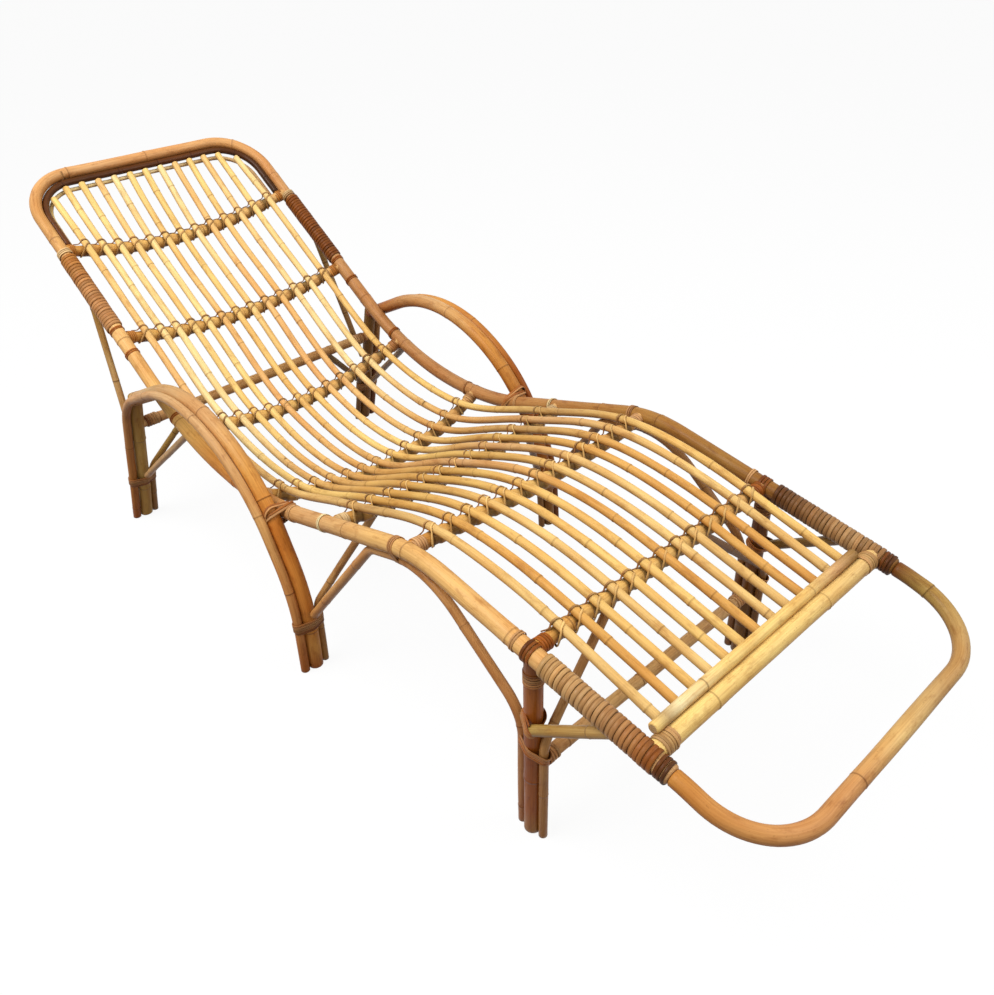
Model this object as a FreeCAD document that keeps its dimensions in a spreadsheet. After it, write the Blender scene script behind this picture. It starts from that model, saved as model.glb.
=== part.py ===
import FreeCAD, Part
import math
import os

Vector = FreeCAD.Vector
SIDES = (("right", -1), ("left", 1))
MOST_LOOPS = 24
LEAST_OWN_GAP = 0.4

# Driving sizes in millimetres, degrees and counts. Y runs from foot to head, X from right to left,
# and the back, seat and leg lines of the long rails meet at the valley and at the knee.
SIZES = (
    ("fit", 0.3),
    ("rail_dia", 28.5),
    ("rail_half_width", 275),
    ("back_run", 700),
    ("back_rise", 460),
    ("seat_run", 600),
    ("seat_rise", 189),
    ("leg_run", 624),
    ("leg_drop", 100),
    ("valley_height", 218),
    ("valley_radius", 595),
    ("knee_radius", 280),
    ("head_corner_radius", 105),
    ("foot_corner_radius", 110),
    ("foot_loop_dia", 24),
    ("foot_loop_droop", 12),
    ("foot_loop_lead", 20),
    ("foot_loop_bend_radius", 200),
    ("inner_cane_dia", 12),
    ("inner_cane_rise", -10),
    ("slat_top_cane_dia", 9),
    ("slat_top_cane_rise", -20),
    ("slat_top_cane_gap", 13),
    ("crossbar_dia", 22.5),
    ("head_bar_from_valley", 539),
    ("head_bar_bow", 60),
    ("back_bar_from_valley", 337),
    ("back_bar_bow", 62),
    ("lumbar_bar_from_valley", 127),
    ("lumbar_bar_bow", 76),
    ("seat_bar_from_valley", 127),
    ("seat_bar_bow", 72),
    ("thigh_bar_from_valley", 375),
    ("thigh_bar_bow", 23),
    ("knee_bar_from_knee", 20),
    ("knee_bar_bow", 15),
    ("calf_bar_from_knee", 237),
    ("calf_bar_bow", 6),
    ("end_bar_dia", 26),
    ("end_bar_from_foot", 184),
    ("slat_dia", 14.5),
    ("slat_count", 13),
    ("slat_spacing", 37.2),
    ("slat_foot_rise", -3),
    ("slat_cap_dia", 17.5),
    ("slat_cap_length", 464),
    ("arm_dia", 28),
    ("arm_foot_from_valley", 314),
    ("arm_lean", 2),
    ("arm_foot_slope", 88),
    ("arm_lower_bend_height", 165),
    ("arm_upper_slope", 60),
    ("arm_upper_bend_height", 523),
    ("arm_back_slope", -27),
    ("arm_lower_radius", 290),
    ("arm_upper_radius", 308),
    ("hoop_dia", 17),
    ("hoop_rear_radius", 130),
    ("rear_post_dia", 27),
    ("rear_foot_from_valley", 372),
    ("rear_post_lean", 16),
    ("rear_post_past_arm", 10),
    ("front_post_dia", 28),
    ("front_post_from_knee", 244),
    ("stretcher_dia", 22),
    ("rear_stretcher_height", 263),
    ("front_stretcher_height", 142),
    ("brace_dia", 14),
    ("brace_bend_radius", 45),
    ("back_strut_from_valley", 450),
    ("back_strut_foot_height", 190),
    ("arm_strut_from_valley", 107),
    ("arm_strut_foot_height", 128),
    ("knee_brace_foot_height", 130),
    ("knee_brace_behind_knee", 125),
    ("knee_brace_turn_behind_knee", -20),
    ("knee_brace_leg_height", 236),
    ("foot_brace_foot_height", 245),
    ("foot_brace_from_post", 154),
    ("foot_brace_turn", 35),
    ("mid_corner_height", 132),
    ("mid_corner_reach", 180),
    ("front_corner_height", 210),
    ("front_corner_reach", 100),
    ("rear_corner_height", 132),
    ("rear_corner_reach", 170),
    ("wrap_dia", 5.2),
    ("wrap_pitch", 5.8),
    ("lash_dia", 3.4),
    ("lash_pitch", 4.1),
    ("slat_lash_dia", 2.4),
    ("slat_lash_side", 10),
    ("slat_lash_low_radius", 8.5),
    ("slat_lash_high_radius", 5.5),
    ("wrap_margin", 4),
    ("bar_end_loops", 4),
    ("rail_lash_loops", 2),
    ("knee_lash_loops", 3),
    ("leg_lash_loops", 4),
    ("post_top_loops", 6),
    ("end_bar_loops", 5),
    ("stretcher_end_loops", 5),
    ("splice_loops", 2),
    ("leg_lash_height_mid", 92),
    ("leg_lash_height_rear", 102),
    ("leg_lash_height_front", 178),
)

document = FreeCAD.newDocument("rattan_chaise")
sheet = document.addObject("Spreadsheet::Sheet", "Sizes")
for row, (name, value) in enumerate(SIZES, start=1):
    sheet.set("A%d" % row, name)
    sheet.set("B%d" % row, str(value))
    sheet.setAlias("B%d" % row, name)
document.recompute()

nodes = []


def size(name):
    """One driving size from the sheet."""
    return float(getattr(sheet, name))


def half(name):
    """Radius of a cane from its diameter in the sheet."""
    return size(name) / 2


FIT = size("fit")


# Paths made of straight runs and tangent arcs

def corner_arc(start, corner, end):
    """Arc from start to end, tangent to both legs of the corner."""
    middle = (start + end) * 0.5
    half_turn = math.atan2((corner - middle).Length, (start - middle).Length)
    crown = middle + (corner - middle) * (math.tan(half_turn / 2) / math.tan(half_turn))
    return Part.Arc(start, crown, end).toShape()


def unit(vector):
    """Copy of a vector with length one."""
    return Vector(vector).normalize()


def bent_path(points, radii):
    """Straight runs through the points, with an arc at each inner point that its runs can hold."""
    runs = [after - before for before, after in zip(points, points[1:])]
    headings = [unit(run) for run in runs]
    setbacks = [0.0]
    for before, after, radius in zip(headings, headings[1:], radii):
        setbacks.append(radius * math.tan(before.getAngle(after) / 2))
    setbacks.append(0.0)
    for index, run in enumerate(runs):
        room = 0.98 * run.Length / max(setbacks[index] + setbacks[index + 1], 1e-9)
        if room < 1:
            setbacks[index] *= room
            setbacks[index + 1] *= room
    edges = []
    place = points[0]
    for corner, before, after, setback in zip(points[1:], headings, headings[1:], setbacks[1:]):
        if setback > 1e-4:
            start = corner - before * setback
            end = corner + after * setback
            edges.append(Part.LineSegment(place, start).toShape())
            edges.append(corner_arc(start, corner, end))
            place = end
    edges.append(Part.LineSegment(place, points[-1]).toShape())
    return Part.Wire(edges)


def biarc(start, start_heading, end, end_heading):
    """Two tangent arcs from one place and heading to another."""
    span = end - start
    sum_heading = start_heading + end_heading
    spread = 2 * (1 - start_heading.dot(end_heading))
    along = span.dot(sum_heading)
    leg = (math.sqrt(along * along + spread * span.dot(span)) - along) / spread
    first_corner = start + start_heading * leg
    last_corner = end - end_heading * leg
    middle = (first_corner + last_corner) * 0.5
    return [corner_arc(start, first_corner, middle), corner_arc(middle, last_corner, end)]


def tube(path, radius):
    """Round solid along a path."""
    first = path.OrderedEdges[0]
    place = first.valueAt(first.FirstParameter)
    ring = Part.makeCircle(radius, place, first.tangentAt(first.FirstParameter))
    return path.makePipeShell([Part.Wire([ring])], True, False)


# Canes as document objects

def keep(cane, label):
    """Marks a document object as a sub-part under its own label."""
    cane.Label = label
    nodes.append(cane)
    return cane


def bent_cane(name, path, dia_name, slack=""):
    """Sweep of a round section, whose radius follows the sheet, along a path."""
    line = document.addObject("Part::Feature", name + "_line")
    line.Shape = path
    first = path.OrderedEdges[0]
    ring = document.addObject("Part::Circle", name + "_ring")
    ring.setExpression("Radius", "Sizes.%s / 2%s" % (dia_name, slack))
    heading = first.tangentAt(first.FirstParameter)
    place = first.valueAt(first.FirstParameter)
    ring.Placement = FreeCAD.Placement(place, FreeCAD.Rotation(Vector(0, 0, 1), heading))
    cane = document.addObject("Part::Sweep", name)
    cane.Sections = [ring]
    cane.Spine = (line, [])
    cane.Solid = True
    cane.Frenet = False
    return cane


def straight_cane(name, start, end, dia_name, slack=""):
    """Cylinder between two points, whose radius follows the sheet."""
    cane = document.addObject("Part::Cylinder", name)
    cane.setExpression("Radius", "Sizes.%s / 2%s" % (dia_name, slack))
    cane.Height = (end - start).Length
    cane.Placement = FreeCAD.Placement(start, FreeCAD.Rotation(Vector(0, 0, 1), end - start))
    return cane


def coped(label, cane, tools):
    """Cane with its ends shaped to the pieces that it meets."""
    for index, tool in enumerate(tools, start=1):
        cut = document.addObject("Part::Cut", "%s_cope_%d" % (label, index))
        cut.Base = cane
        cut.Tool = tool
        cane = cut
    return keep(cane, label)


CLEAR = " + Sizes.fit"
WRAPPED_CLEAR = " + Sizes.wrap_dia + 2 * Sizes.fit"

# Side profile of the long rails, from the foot to the head

rail_radius = half("rail_dia")
loop_radius = half("foot_loop_dia")
half_width = size("rail_half_width")
valley_y = (size("seat_run") + size("leg_run") - size("back_run") + loop_radius - rail_radius) / 2
valley = Vector(0, valley_y, size("valley_height"))
head = valley + Vector(0, size("back_run"), size("back_rise"))
knee = valley + Vector(0, -size("seat_run"), size("seat_rise"))
foot = knee + Vector(0, -size("leg_run"), -size("leg_drop"))
profile = bent_path([foot, knee, valley, head], [size("knee_radius"), size("valley_radius")])
back_line = unit(head - valley)
seat_line = unit(valley - knee)
leg_line = unit(knee - foot)


def upward(heading):
    """Normal of the side profile on its upper side."""
    return Vector(0, -heading.z, heading.y)


def rail_at(y):
    """Centre of the rail at a place along the chaise, and its heading towards the head."""
    for edge in profile.OrderedEdges:
        low, high = edge.FirstParameter, edge.LastParameter
        if edge.valueAt(low).y - 1e-6 <= y <= edge.valueAt(high).y + 1e-6:
            for _ in range(50):
                middle = (low + high) / 2
                if edge.valueAt(middle).y < y:
                    low = middle
                else:
                    high = middle
            return edge.valueAt(middle), edge.tangentAt(middle)
    raise ValueError("no rail at %.1f" % y)


def off_rail(x, y, rise):
    """Point beside the rail's centre line, by its place across and its height square to the line."""
    centre, heading = rail_at(y)
    return centre + upward(heading) * rise + Vector(x, 0, 0)


def at_x(point, x):
    """The same point in another side plane."""
    return Vector(x, point.y, point.z)


bar_y = {
    "head_crossbar": valley_y + size("head_bar_from_valley"),
    "back_crossbar": valley_y + size("back_bar_from_valley"),
    "lumbar_crossbar": valley_y + size("lumbar_bar_from_valley"),
    "seat_crossbar": valley_y - size("seat_bar_from_valley"),
    "thigh_crossbar": valley_y - size("thigh_bar_from_valley"),
    "knee_crossbar": knee.y + size("knee_bar_from_knee"),
    "calf_crossbar": knee.y - size("calf_bar_from_knee"),
}
bar_bow = {name: size(name.replace("crossbar", "bar_bow")) for name in bar_y}
crossbar_radius = half("crossbar_dia")
end_bar_y = foot.y + size("end_bar_from_foot")
end_bar_radius = half("end_bar_dia")
end_bar_centre = rail_at(end_bar_y)[0]

# Long rails bent from one pole, and the foot loop spliced to their ends

beside_end_bar = end_bar_radius + size("lash_dia") + 2 * FIT
splice_wrap_length = (size("splice_loops") + 1) * size("wrap_pitch")
splice = end_bar_centre - leg_line * (beside_end_bar + splice_wrap_length)
rail_points = [at_x(point, -half_width) for point in (splice, knee, valley, head)]
rail_points += [at_x(point, half_width) for point in (head, valley, knee, splice)]
bends = [size("knee_radius"), size("valley_radius"), size("head_corner_radius")]
rail_path = bent_path(rail_points, bends + bends[::-1])
keep(bent_cane("main_rail", rail_path, "rail_dia"), "main_rail")
rail_space = bent_cane("rail_space", rail_path, "rail_dia", CLEAR)

loop_start = splice - leg_line * FIT
loop_turn = loop_start - leg_line * size("foot_loop_lead")
loop_end = foot - Vector(0, 0, size("foot_loop_droop"))
loop_points = [at_x(point, -half_width) for point in (loop_start, loop_turn, loop_end)]
loop_points += [at_x(point, half_width) for point in (loop_end, loop_turn, loop_start)]
loop_bends = [size("foot_loop_bend_radius"), size("foot_corner_radius")]
loop_path = bent_path(loop_points, loop_bends + loop_bends[::-1])
keep(bent_cane("foot_loop", loop_path, "foot_loop_dia"), "foot_loop")

# Crossbars between the rails, bowed below them and coped to them

ACROSS = Vector(1, 0, 0)
bar_radius = {name: (half_width ** 2 + bow ** 2) / (2 * bow) for name, bow in bar_bow.items()}


def bar_frame(name, angle):
    """Place at an angle of a crossbar's bow, with the directions along the bar and up from it."""
    centre, heading = rail_at(bar_y[name])
    up = upward(heading)
    across = ACROSS * math.cos(angle) + up * math.sin(angle)
    rise = up * math.cos(angle) - ACROSS * math.sin(angle)
    return centre + up * (bar_radius[name] - bar_bow[name]) - rise * bar_radius[name], across, rise


def bar_angle(name, x, above=0.0):
    """Angle of the bow at a place across, on the bar's line or above it."""
    return math.asin(x / (bar_radius[name] - above))


def bar_point(name, x):
    """Point on a crossbar's line at a place across."""
    return bar_frame(name, bar_angle(name, x))[0]


bar_spaces = {}
for name in bar_y:
    bow_line = Part.Wire([Part.Arc(*[bar_point(name, x) for x in (-half_width, 0, half_width)]).toShape()])
    coped(name, bent_cane(name + "_blank", bow_line, "crossbar_dia"), [rail_space])
    if name in ("thigh_crossbar", "calf_crossbar"):
        bar_spaces[name] = bent_cane(name + "_space", bow_line, "crossbar_dia", CLEAR)
bar_ends = [at_x(end_bar_centre, x) for x in (-half_width, half_width)]
blank = straight_cane("end_bar_blank", *bar_ends, "end_bar_dia")
blank.setExpression("Height", "Sizes.rail_half_width * 2")
coped("end_bar", blank, [rail_space])
bar_spaces["end_bar"] = straight_cane("end_bar_space", *bar_ends, "end_bar_dia", CLEAR)

# Two thinner canes inside the head bend, which reach down to the head crossbar

inner_radius = half("inner_cane_dia")
top_cane_radius = half("slat_top_cane_dia")
inner_rise = size("inner_cane_rise")
top_cane_rise = size("slat_top_cane_rise")


def nested(distance, rise):
    """Distance in the plane of the back for canes that lie at different heights."""
    return math.sqrt(distance * distance - rise * rise)


inner_inset = nested(rail_radius + inner_radius + FIT, inner_rise)
top_cane_inset = inner_inset + size("slat_top_cane_gap")


def head_hoop(label, dia_name, inset, rise):
    """Cane that follows the head bend at an inset, down to the head crossbar."""
    lift = upward(back_line) * rise
    low = rail_at(bar_y["head_crossbar"])[0] + back_line * (crossbar_radius + FIT) + lift
    high = head - back_line * inset + lift
    x = half_width - inset
    points = [at_x(low, -x), at_x(high, -x), at_x(high, x), at_x(low, x)]
    path = bent_path(points, [size("head_corner_radius") - inset] * 2)
    keep(bent_cane(label, path, dia_name), label)


head_hoop("inner_head_cane", "inner_cane_dia", inner_inset, inner_rise)
head_hoop("slat_top_cane", "slat_top_cane_dia", top_cane_inset, top_cane_rise)

# Slats on top of the crossbars, from the slat top cane to the end bar

slat_radius = half("slat_dia")
slat_on_bar = crossbar_radius + slat_radius + FIT
slat_on_top_cane = slat_radius + top_cane_radius + 3 * FIT
slat_xs = []
for number in range(int(size("slat_count"))):
    slat_xs.append((number - (size("slat_count") - 1) / 2) * size("slat_spacing"))
slat_foot = end_bar_centre + upward(leg_line) * size("slat_foot_rise")


def head_drop(x, inset):
    """Distance in the plane of the back from the head to a hoop's line at a place across."""
    past_corner = max(0.0, abs(x) - (half_width - size("head_corner_radius")))
    return size("head_corner_radius") - nested(size("head_corner_radius") - inset, past_corner)


def through(before, place, after):
    """Heading at a place of the arc through three points."""
    arrive, leave = place - before, after - place
    return unit(unit(arrive) * leave.Length + unit(leave) * arrive.Length)


def mirrored(heading, chord):
    """Heading at the far end of an arc, from the one at its start."""
    return chord * (2 * heading.dot(chord)) - heading


def slat_rests(x):
    """Where a slat lies on the crossbars: place on the bar, and the directions along, ahead and up."""
    frames = [bar_frame(name, bar_angle(name, x, slat_on_bar)) for name in reversed(bar_y)]
    line = [slat_foot] + [place + rise * slat_on_bar for place, _, rise in frames]
    line = [at_x(point, x) for point in line]
    top = at_x(head - back_line * head_drop(x, top_cane_inset), x)
    line.append(top + upward(back_line) * (top_cane_rise + slat_on_top_cane))
    headings = [through(*line[index:index + 3]) for index in range(len(frames))]
    headings[0] = unit(line[1] - line[0])
    rests = []
    for (place, across, rise), heading in zip(frames, headings):
        rests.append((place, across, heading, unit(rise - heading * rise.dot(heading))))
    return rests, top


def slat_path(x):
    """Line of a slat: straight to the first crossbar, then in arcs from bar to bar and up to the head."""
    rests, top = slat_rests(x)
    stops = [(at_x(place + rise * slat_on_bar, x), heading) for place, _, heading, rise in rests]
    edges = [Part.LineSegment(at_x(slat_foot, x), stops[0][0]).toShape()]
    for (start, start_heading), (end, end_heading) in zip(stops, stops[1:]):
        edges.extend(biarc(start, start_heading, end, end_heading))
    start, heading = stops[-1]
    top_heading = mirrored(heading, unit(top - start))
    end = top + upward(top_heading) * slat_on_top_cane + upward(back_line) * top_cane_rise
    top_heading = mirrored(heading, unit(end - start))
    edges.extend(biarc(start, heading, end, top_heading))
    lip = slat_radius * top_heading.dot(upward(back_line))
    butt = head_drop(abs(x) + slat_radius, inner_inset + inner_radius + FIT) + lip
    tail = (head_drop(x, top_cane_inset) - butt) / top_heading.dot(back_line)
    edges.append(Part.LineSegment(end, end + top_heading * tail).toShape())
    return Part.Wire(edges)


for number, x in enumerate(slat_xs, start=1):
    label = "slat_%02d" % number
    coped(label, bent_cane(label + "_blank", slat_path(x), "slat_dia"), [bar_spaces["end_bar"]])

# Cap cane along the lower ends of the slats, against the end bar between its bindings

cap_radius = half("slat_cap_dia")
slat_end_line = slat_rests(slat_xs[-1])[0][0][2]
cap_gap = end_bar_radius + cap_radius + FIT
cap_rise = size("slat_foot_rise") + slat_radius + cap_radius + FIT
cap_foot = slat_foot + slat_end_line * nested(cap_gap, cap_rise)
cap_centre = cap_foot + upward(slat_end_line) * (slat_radius + cap_radius + FIT)
cap_half_length = size("slat_cap_length") / 2
cap = straight_cane("slat_end_cap", at_x(cap_centre, -cap_half_length), at_x(cap_centre, cap_half_length),
                    "slat_cap_dia")
cap.setExpression("Height", "Sizes.slat_cap_length")
keep(cap, "slat_end_cap")

# Arms: a pole over the arm, a thin hoop outside it that is also the rear leg, and a rear post

arm_radius = half("arm_dia")
post_radius = half("rear_post_dia")
hoop_radius = half("hoop_dia")
brace_radius = half("brace_dia")
arm_foot_y = valley_y - size("arm_foot_from_valley")
rear_foot_y = valley_y + size("rear_foot_from_valley")
lean = math.tan(math.radians(size("arm_lean")))
post_slope = math.tan(math.radians(size("rear_post_lean")))


def slope_run(rise, degrees):
    """Run that goes with a rise on a slope."""
    return rise / math.tan(math.radians(degrees))


lower_bend_y = arm_foot_y + slope_run(size("arm_lower_bend_height"), size("arm_foot_slope"))
bend_rise = size("arm_upper_bend_height") - size("arm_lower_bend_height")
upper_bend_y = lower_bend_y + slope_run(bend_rise, size("arm_upper_slope"))
cross_y = lower_bend_y
for _ in range(12):
    cross_height = rail_at(cross_y)[0].z - size("arm_lower_bend_height")
    cross_y = lower_bend_y + slope_run(cross_height, size("arm_upper_slope"))
cross_z = rail_at(cross_y)[0].z
leg_radius = max(arm_radius, post_radius)
cross_x = half_width + rail_radius + leg_radius + 2 * FIT
hoop_out = leg_radius + hoop_radius + FIT
brace_in = -(leg_radius + brace_radius + FIT)


def in_arm(side, y, z, out=0.0):
    """Point in the plane of an arm, which leans in, or in a plane beside it."""
    return Vector(side * (cross_x - (z - cross_z) * lean + out), y, z)


def post_y(z):
    """Place of the rear post's centre line at a height."""
    return rear_foot_y - z * post_slope


back_slope = math.tan(math.radians(size("arm_back_slope")))
joint_z = (size("arm_upper_bend_height") + (rear_foot_y - upper_bend_y) * back_slope)
joint_z = joint_z / (1 + post_slope * back_slope)
joint_y = post_y(joint_z)
below_floor = 15
post_top_z = joint_z + size("rear_post_past_arm")

floor_block = document.addObject("Part::Box", "floor_block")
floor_block.setExpression("Length", "Sizes.rail_half_width * 4")
floor_block.setExpression("Width", "(Sizes.back_run + Sizes.seat_run + Sizes.leg_run) * 2")
floor_block.Height = 2 * below_floor
floor_corner = Vector(-2 * half_width, foot.y - size("back_run"), -2 * below_floor)
floor_block.Placement = FreeCAD.Placement(floor_corner, FreeCAD.Rotation())

arm_bends = [size("arm_lower_radius"), size("arm_upper_radius")]
for side_name, side in SIDES:
    def arm_line(out):
        """Points of the arm from below the floor over the upper bend."""
        under = arm_foot_y - slope_run(below_floor, size("arm_foot_slope"))
        return [in_arm(side, under, -below_floor, out),
                in_arm(side, lower_bend_y, size("arm_lower_bend_height"), out),
                in_arm(side, upper_bend_y, size("arm_upper_bend_height"), out)]

    post_start = in_arm(side, post_y(-below_floor), -below_floor)
    post_end = in_arm(side, post_y(post_top_z), post_top_z)
    label = "rear_post_" + side_name
    blank = straight_cane(label + "_blank", post_start, post_end, "rear_post_dia")
    coped(label, blank, [floor_block])
    post_space_end = in_arm(side, post_y(post_top_z + size("arm_dia")), post_top_z + size("arm_dia"))
    post_space = straight_cane(label + "_space", post_start, post_space_end, "rear_post_dia", CLEAR)

    label = "arm_pole_" + side_name
    path = bent_path(arm_line(0) + [in_arm(side, joint_y, joint_z)], arm_bends)
    coped(label, bent_cane(label + "_blank", path, "arm_dia"), [post_space, rail_space, floor_block])

    label = "arm_hoop_" + side_name
    rear = [in_arm(side, joint_y, joint_z, hoop_out)]
    rear.append(in_arm(side, post_y(-below_floor), -below_floor, hoop_out))
    path = bent_path(arm_line(hoop_out) + rear, arm_bends + [size("hoop_rear_radius")])
    coped(label, bent_cane(label + "_blank", path, "hoop_dia"), [floor_block])

# Front posts and the two stretchers between the legs

front_y = knee.y - size("front_post_from_knee")
front_radius = half("front_post_dia")
front_top = rail_at(front_y)[0].z
front_spaces = []
rear_spaces = []
for side_name, side in SIDES:
    label = "front_post_" + side_name
    base = Vector(side * half_width, front_y, 0)
    top = Vector(side * half_width, front_y, front_top)
    blank = straight_cane(label + "_blank", base, top, "front_post_dia")
    coped(label, blank, [rail_space, bar_spaces["calf_crossbar"]])
    front_spaces.append(straight_cane(label + "_space", base, top, "front_post_dia", CLEAR))
    rear_spaces.append(document.getObject("rear_post_%s_space" % side_name))

front_height = size("front_stretcher_height")
rear_height = size("rear_stretcher_height")
front_ends = [Vector(side * half_width, front_y, front_height) for _, side in SIDES]
rear_ends = [in_arm(side, post_y(rear_height), rear_height) for _, side in SIDES]
coped("front_stretcher", straight_cane("front_stretcher_blank", *front_ends, "stretcher_dia"), front_spaces)
coped("rear_stretcher", straight_cane("rear_stretcher_blank", *rear_ends, "stretcher_dia"), rear_spaces)
rear_stretcher_space = straight_cane("rear_stretcher_space", *rear_ends, "stretcher_dia", CLEAR)

# Thin braces

stub = 3 * size("brace_dia")
bend = size("brace_bend_radius")
under_rail = -(rail_radius + brace_radius + FIT)
post_to_brace = front_radius + brace_radius + FIT
leg_to_brace = leg_radius + brace_radius + FIT
strut_y = valley_y + size("back_strut_from_valley")
foot_brace_y = front_y - size("foot_brace_from_post")


def wrapped_rail(name, x, y):
    """Space that the rail and its binding take up near one place."""
    centre, heading = rail_at(y)
    start = at_x(centre, x) - heading * stub
    end = at_x(centre, x) + heading * stub
    return straight_cane(name, start, end, "rail_dia", WRAPPED_CLEAR)


def behind_post(side, z, distance):
    """Point that stands off the rear post, in front of it where the distance is negative."""
    return in_arm(side, post_y(z) + distance / math.cos(math.radians(size("rear_post_lean"))), z)


def back_strut(side_name, side):
    """Strut from the bound part of the back rail to the back of the rear post."""
    label = "back_strut_" + side_name
    top = off_rail(side * half_width, strut_y, 0)
    low = behind_post(side, size("back_strut_foot_height"), leg_to_brace)
    blank = straight_cane(label + "_blank", low, top, "brace_dia")
    coped(label, blank, [wrapped_rail(label + "_space", side * half_width, strut_y)])


def arm_strut(side_name, side):
    """Strut from the front of the rear post up to the rail under the arm."""
    label = "arm_strut_" + side_name
    top = off_rail(side * half_width, valley_y + size("arm_strut_from_valley"), 0)
    low = behind_post(side, size("arm_strut_foot_height"), -leg_to_brace)
    coped(label, straight_cane(label + "_blank", low, top, "brace_dia"), [rail_space])


def knee_brace(side_name, side):
    """Cane from the arm's leg, along the underside of the rail at the knee and down the front post."""
    label = "knee_brace_" + side_name
    x = side * half_width
    foot_z = size("knee_brace_foot_height")
    low = in_arm(side, arm_foot_y + slope_run(foot_z, size("arm_foot_slope")) - leg_to_brace, foot_z)
    below = at_x(knee + upward(seat_line) * under_rail, x)
    behind = below + seat_line * size("knee_brace_behind_knee")
    turn = below + seat_line * size("knee_brace_turn_behind_knee")
    leg = Vector(x, front_y + post_to_brace, size("knee_brace_leg_height"))
    floor = Vector(x, front_y + post_to_brace, 0)
    rail_bend_start = size("knee_radius") * math.tan(seat_line.getAngle(leg_line) / 2)
    turn_angle = (turn - behind).getAngle(leg - turn)
    turn_radius = (rail_bend_start - size("knee_brace_turn_behind_knee")) / math.tan(turn_angle / 2)
    radii = [bend, turn_radius, 2 * bend]
    keep(bent_cane(label, bent_path([low, behind, turn, leg, floor], radii), "brace_dia"), label)


def foot_brace(side_name, side):
    """Brace from the outer foot side of the front post to the bound rail near the foot."""
    label = "foot_brace_" + side_name
    turn = math.radians(size("foot_brace_turn"))
    out, ahead = post_to_brace * math.cos(turn), post_to_brace * math.sin(turn)
    low = Vector(side * (half_width + out), front_y - ahead, size("foot_brace_foot_height"))
    top = off_rail(side * half_width, foot_brace_y, 0)
    blank = straight_cane(label + "_blank", low, top, "brace_dia")
    coped(label, blank, [wrapped_rail(label + "_space", side * half_width, foot_brace_y)])


def mid_corner_brace(side_name, side):
    """Cane up the inner side of the arm's leg, then across to the thigh crossbar."""
    label = "mid_corner_brace_" + side_name
    top_z = size("mid_corner_height")
    low = in_arm(side, arm_foot_y - slope_run(below_floor, size("arm_foot_slope")), -below_floor, brace_in)
    turn = in_arm(side, arm_foot_y + slope_run(top_z, size("arm_foot_slope")), top_z, brace_in)
    end = bar_point("thigh_crossbar", side * size("mid_corner_reach"))
    blank = bent_cane(label + "_blank", bent_path([low, turn, end], [bend]), "brace_dia")
    coped(label, blank, [bar_spaces["thigh_crossbar"], floor_block])


def front_corner_brace(side_name, side):
    """Cane up the foot side of the front post, then across to the calf crossbar."""
    label = "front_corner_brace_" + side_name
    low = Vector(side * half_width, front_y - post_to_brace, 0)
    turn = low + Vector(0, 0, size("front_corner_height"))
    end = bar_point("calf_crossbar", side * size("front_corner_reach"))
    blank = bent_cane(label + "_blank", bent_path([low, turn, end], [bend]), "brace_dia")
    coped(label, blank, [bar_spaces["calf_crossbar"]])


def rear_corner_brace(side_name, side):
    """Cane up the inner side of the rear post, then across to the rear stretcher."""
    label = "rear_corner_brace_" + side_name
    top_z = size("rear_corner_height")
    low = in_arm(side, post_y(-below_floor), -below_floor, brace_in)
    turn = in_arm(side, post_y(top_z), top_z, brace_in)
    end = Vector(side * size("rear_corner_reach"), post_y(rear_height), rear_height)
    blank = bent_cane(label + "_blank", bent_path([low, turn, end], [bend]), "brace_dia")
    coped(label, blank, [rear_stretcher_space, floor_block])


for side_name, side in SIDES:
    for brace in (back_strut, arm_strut, knee_brace, foot_brace, mid_corner_brace, front_corner_brace,
                  rear_corner_brace):
        brace(side_name, side)

# Bindings wound from split cane


def taut_loop(circles, reach):
    """Stations of one loop drawn tight round canes, as place, heading, run and whether it is straight."""
    if len(circles) == 1:
        across, along, radius = circles[0]
        ring = radius + reach
        stations = []
        for angle in (0, math.pi):
            place = (across + ring * math.cos(angle + math.pi), along + ring * math.sin(angle + math.pi))
            stations.append((place, angle + 1.5 * math.pi, ring * math.pi, False))
        return (across + ring, along), math.pi / 2, stations
    leaves = []
    for this, following in zip(circles, circles[1:] + circles[:1]):
        across, along = following[0] - this[0], following[1] - this[1]
        wedge = math.acos((this[2] - following[2]) / math.hypot(across, along))
        leaves.append(math.atan2(along, across) - wedge)
    stations = []
    arrive = leaves[-1]
    for (across, along, radius), leave, following in zip(circles, leaves, circles[1:] + circles[:1]):
        ring = radius + reach
        turn = (leave - arrive) % (2 * math.pi)
        place = (across + ring * math.cos(leave), along + ring * math.sin(leave))
        stations.append((place, leave + math.pi / 2, ring * turn, False))
        next_ring = following[2] + reach
        next_place = (following[0] + next_ring * math.cos(leave), following[1] + next_ring * math.sin(leave))
        run = math.hypot(next_place[0] - place[0], next_place[1] - place[1])
        stations.append((next_place, leave + math.pi / 2, run, True))
        arrive = leave
    across, along, radius = circles[0]
    ring = radius + reach
    start = (across + ring * math.cos(leaves[-1]), along + ring * math.sin(leaves[-1]))
    return start, leaves[-1] + math.pi / 2, stations


def own_gap(path, dia, loop_length):
    """Least gap between one loop and the next, measured on points along the path."""
    step = dia / 4
    points = path.discretize(Distance=step)
    nearest = path.Length
    skip = int(0.4 * loop_length / step)
    window = int(1.6 * loop_length / step)
    for index, point in enumerate(points):
        for other in points[index + skip:index + window]:
            nearest = min(nearest, point.distanceToPoint(other))
    return nearest - dia


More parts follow.
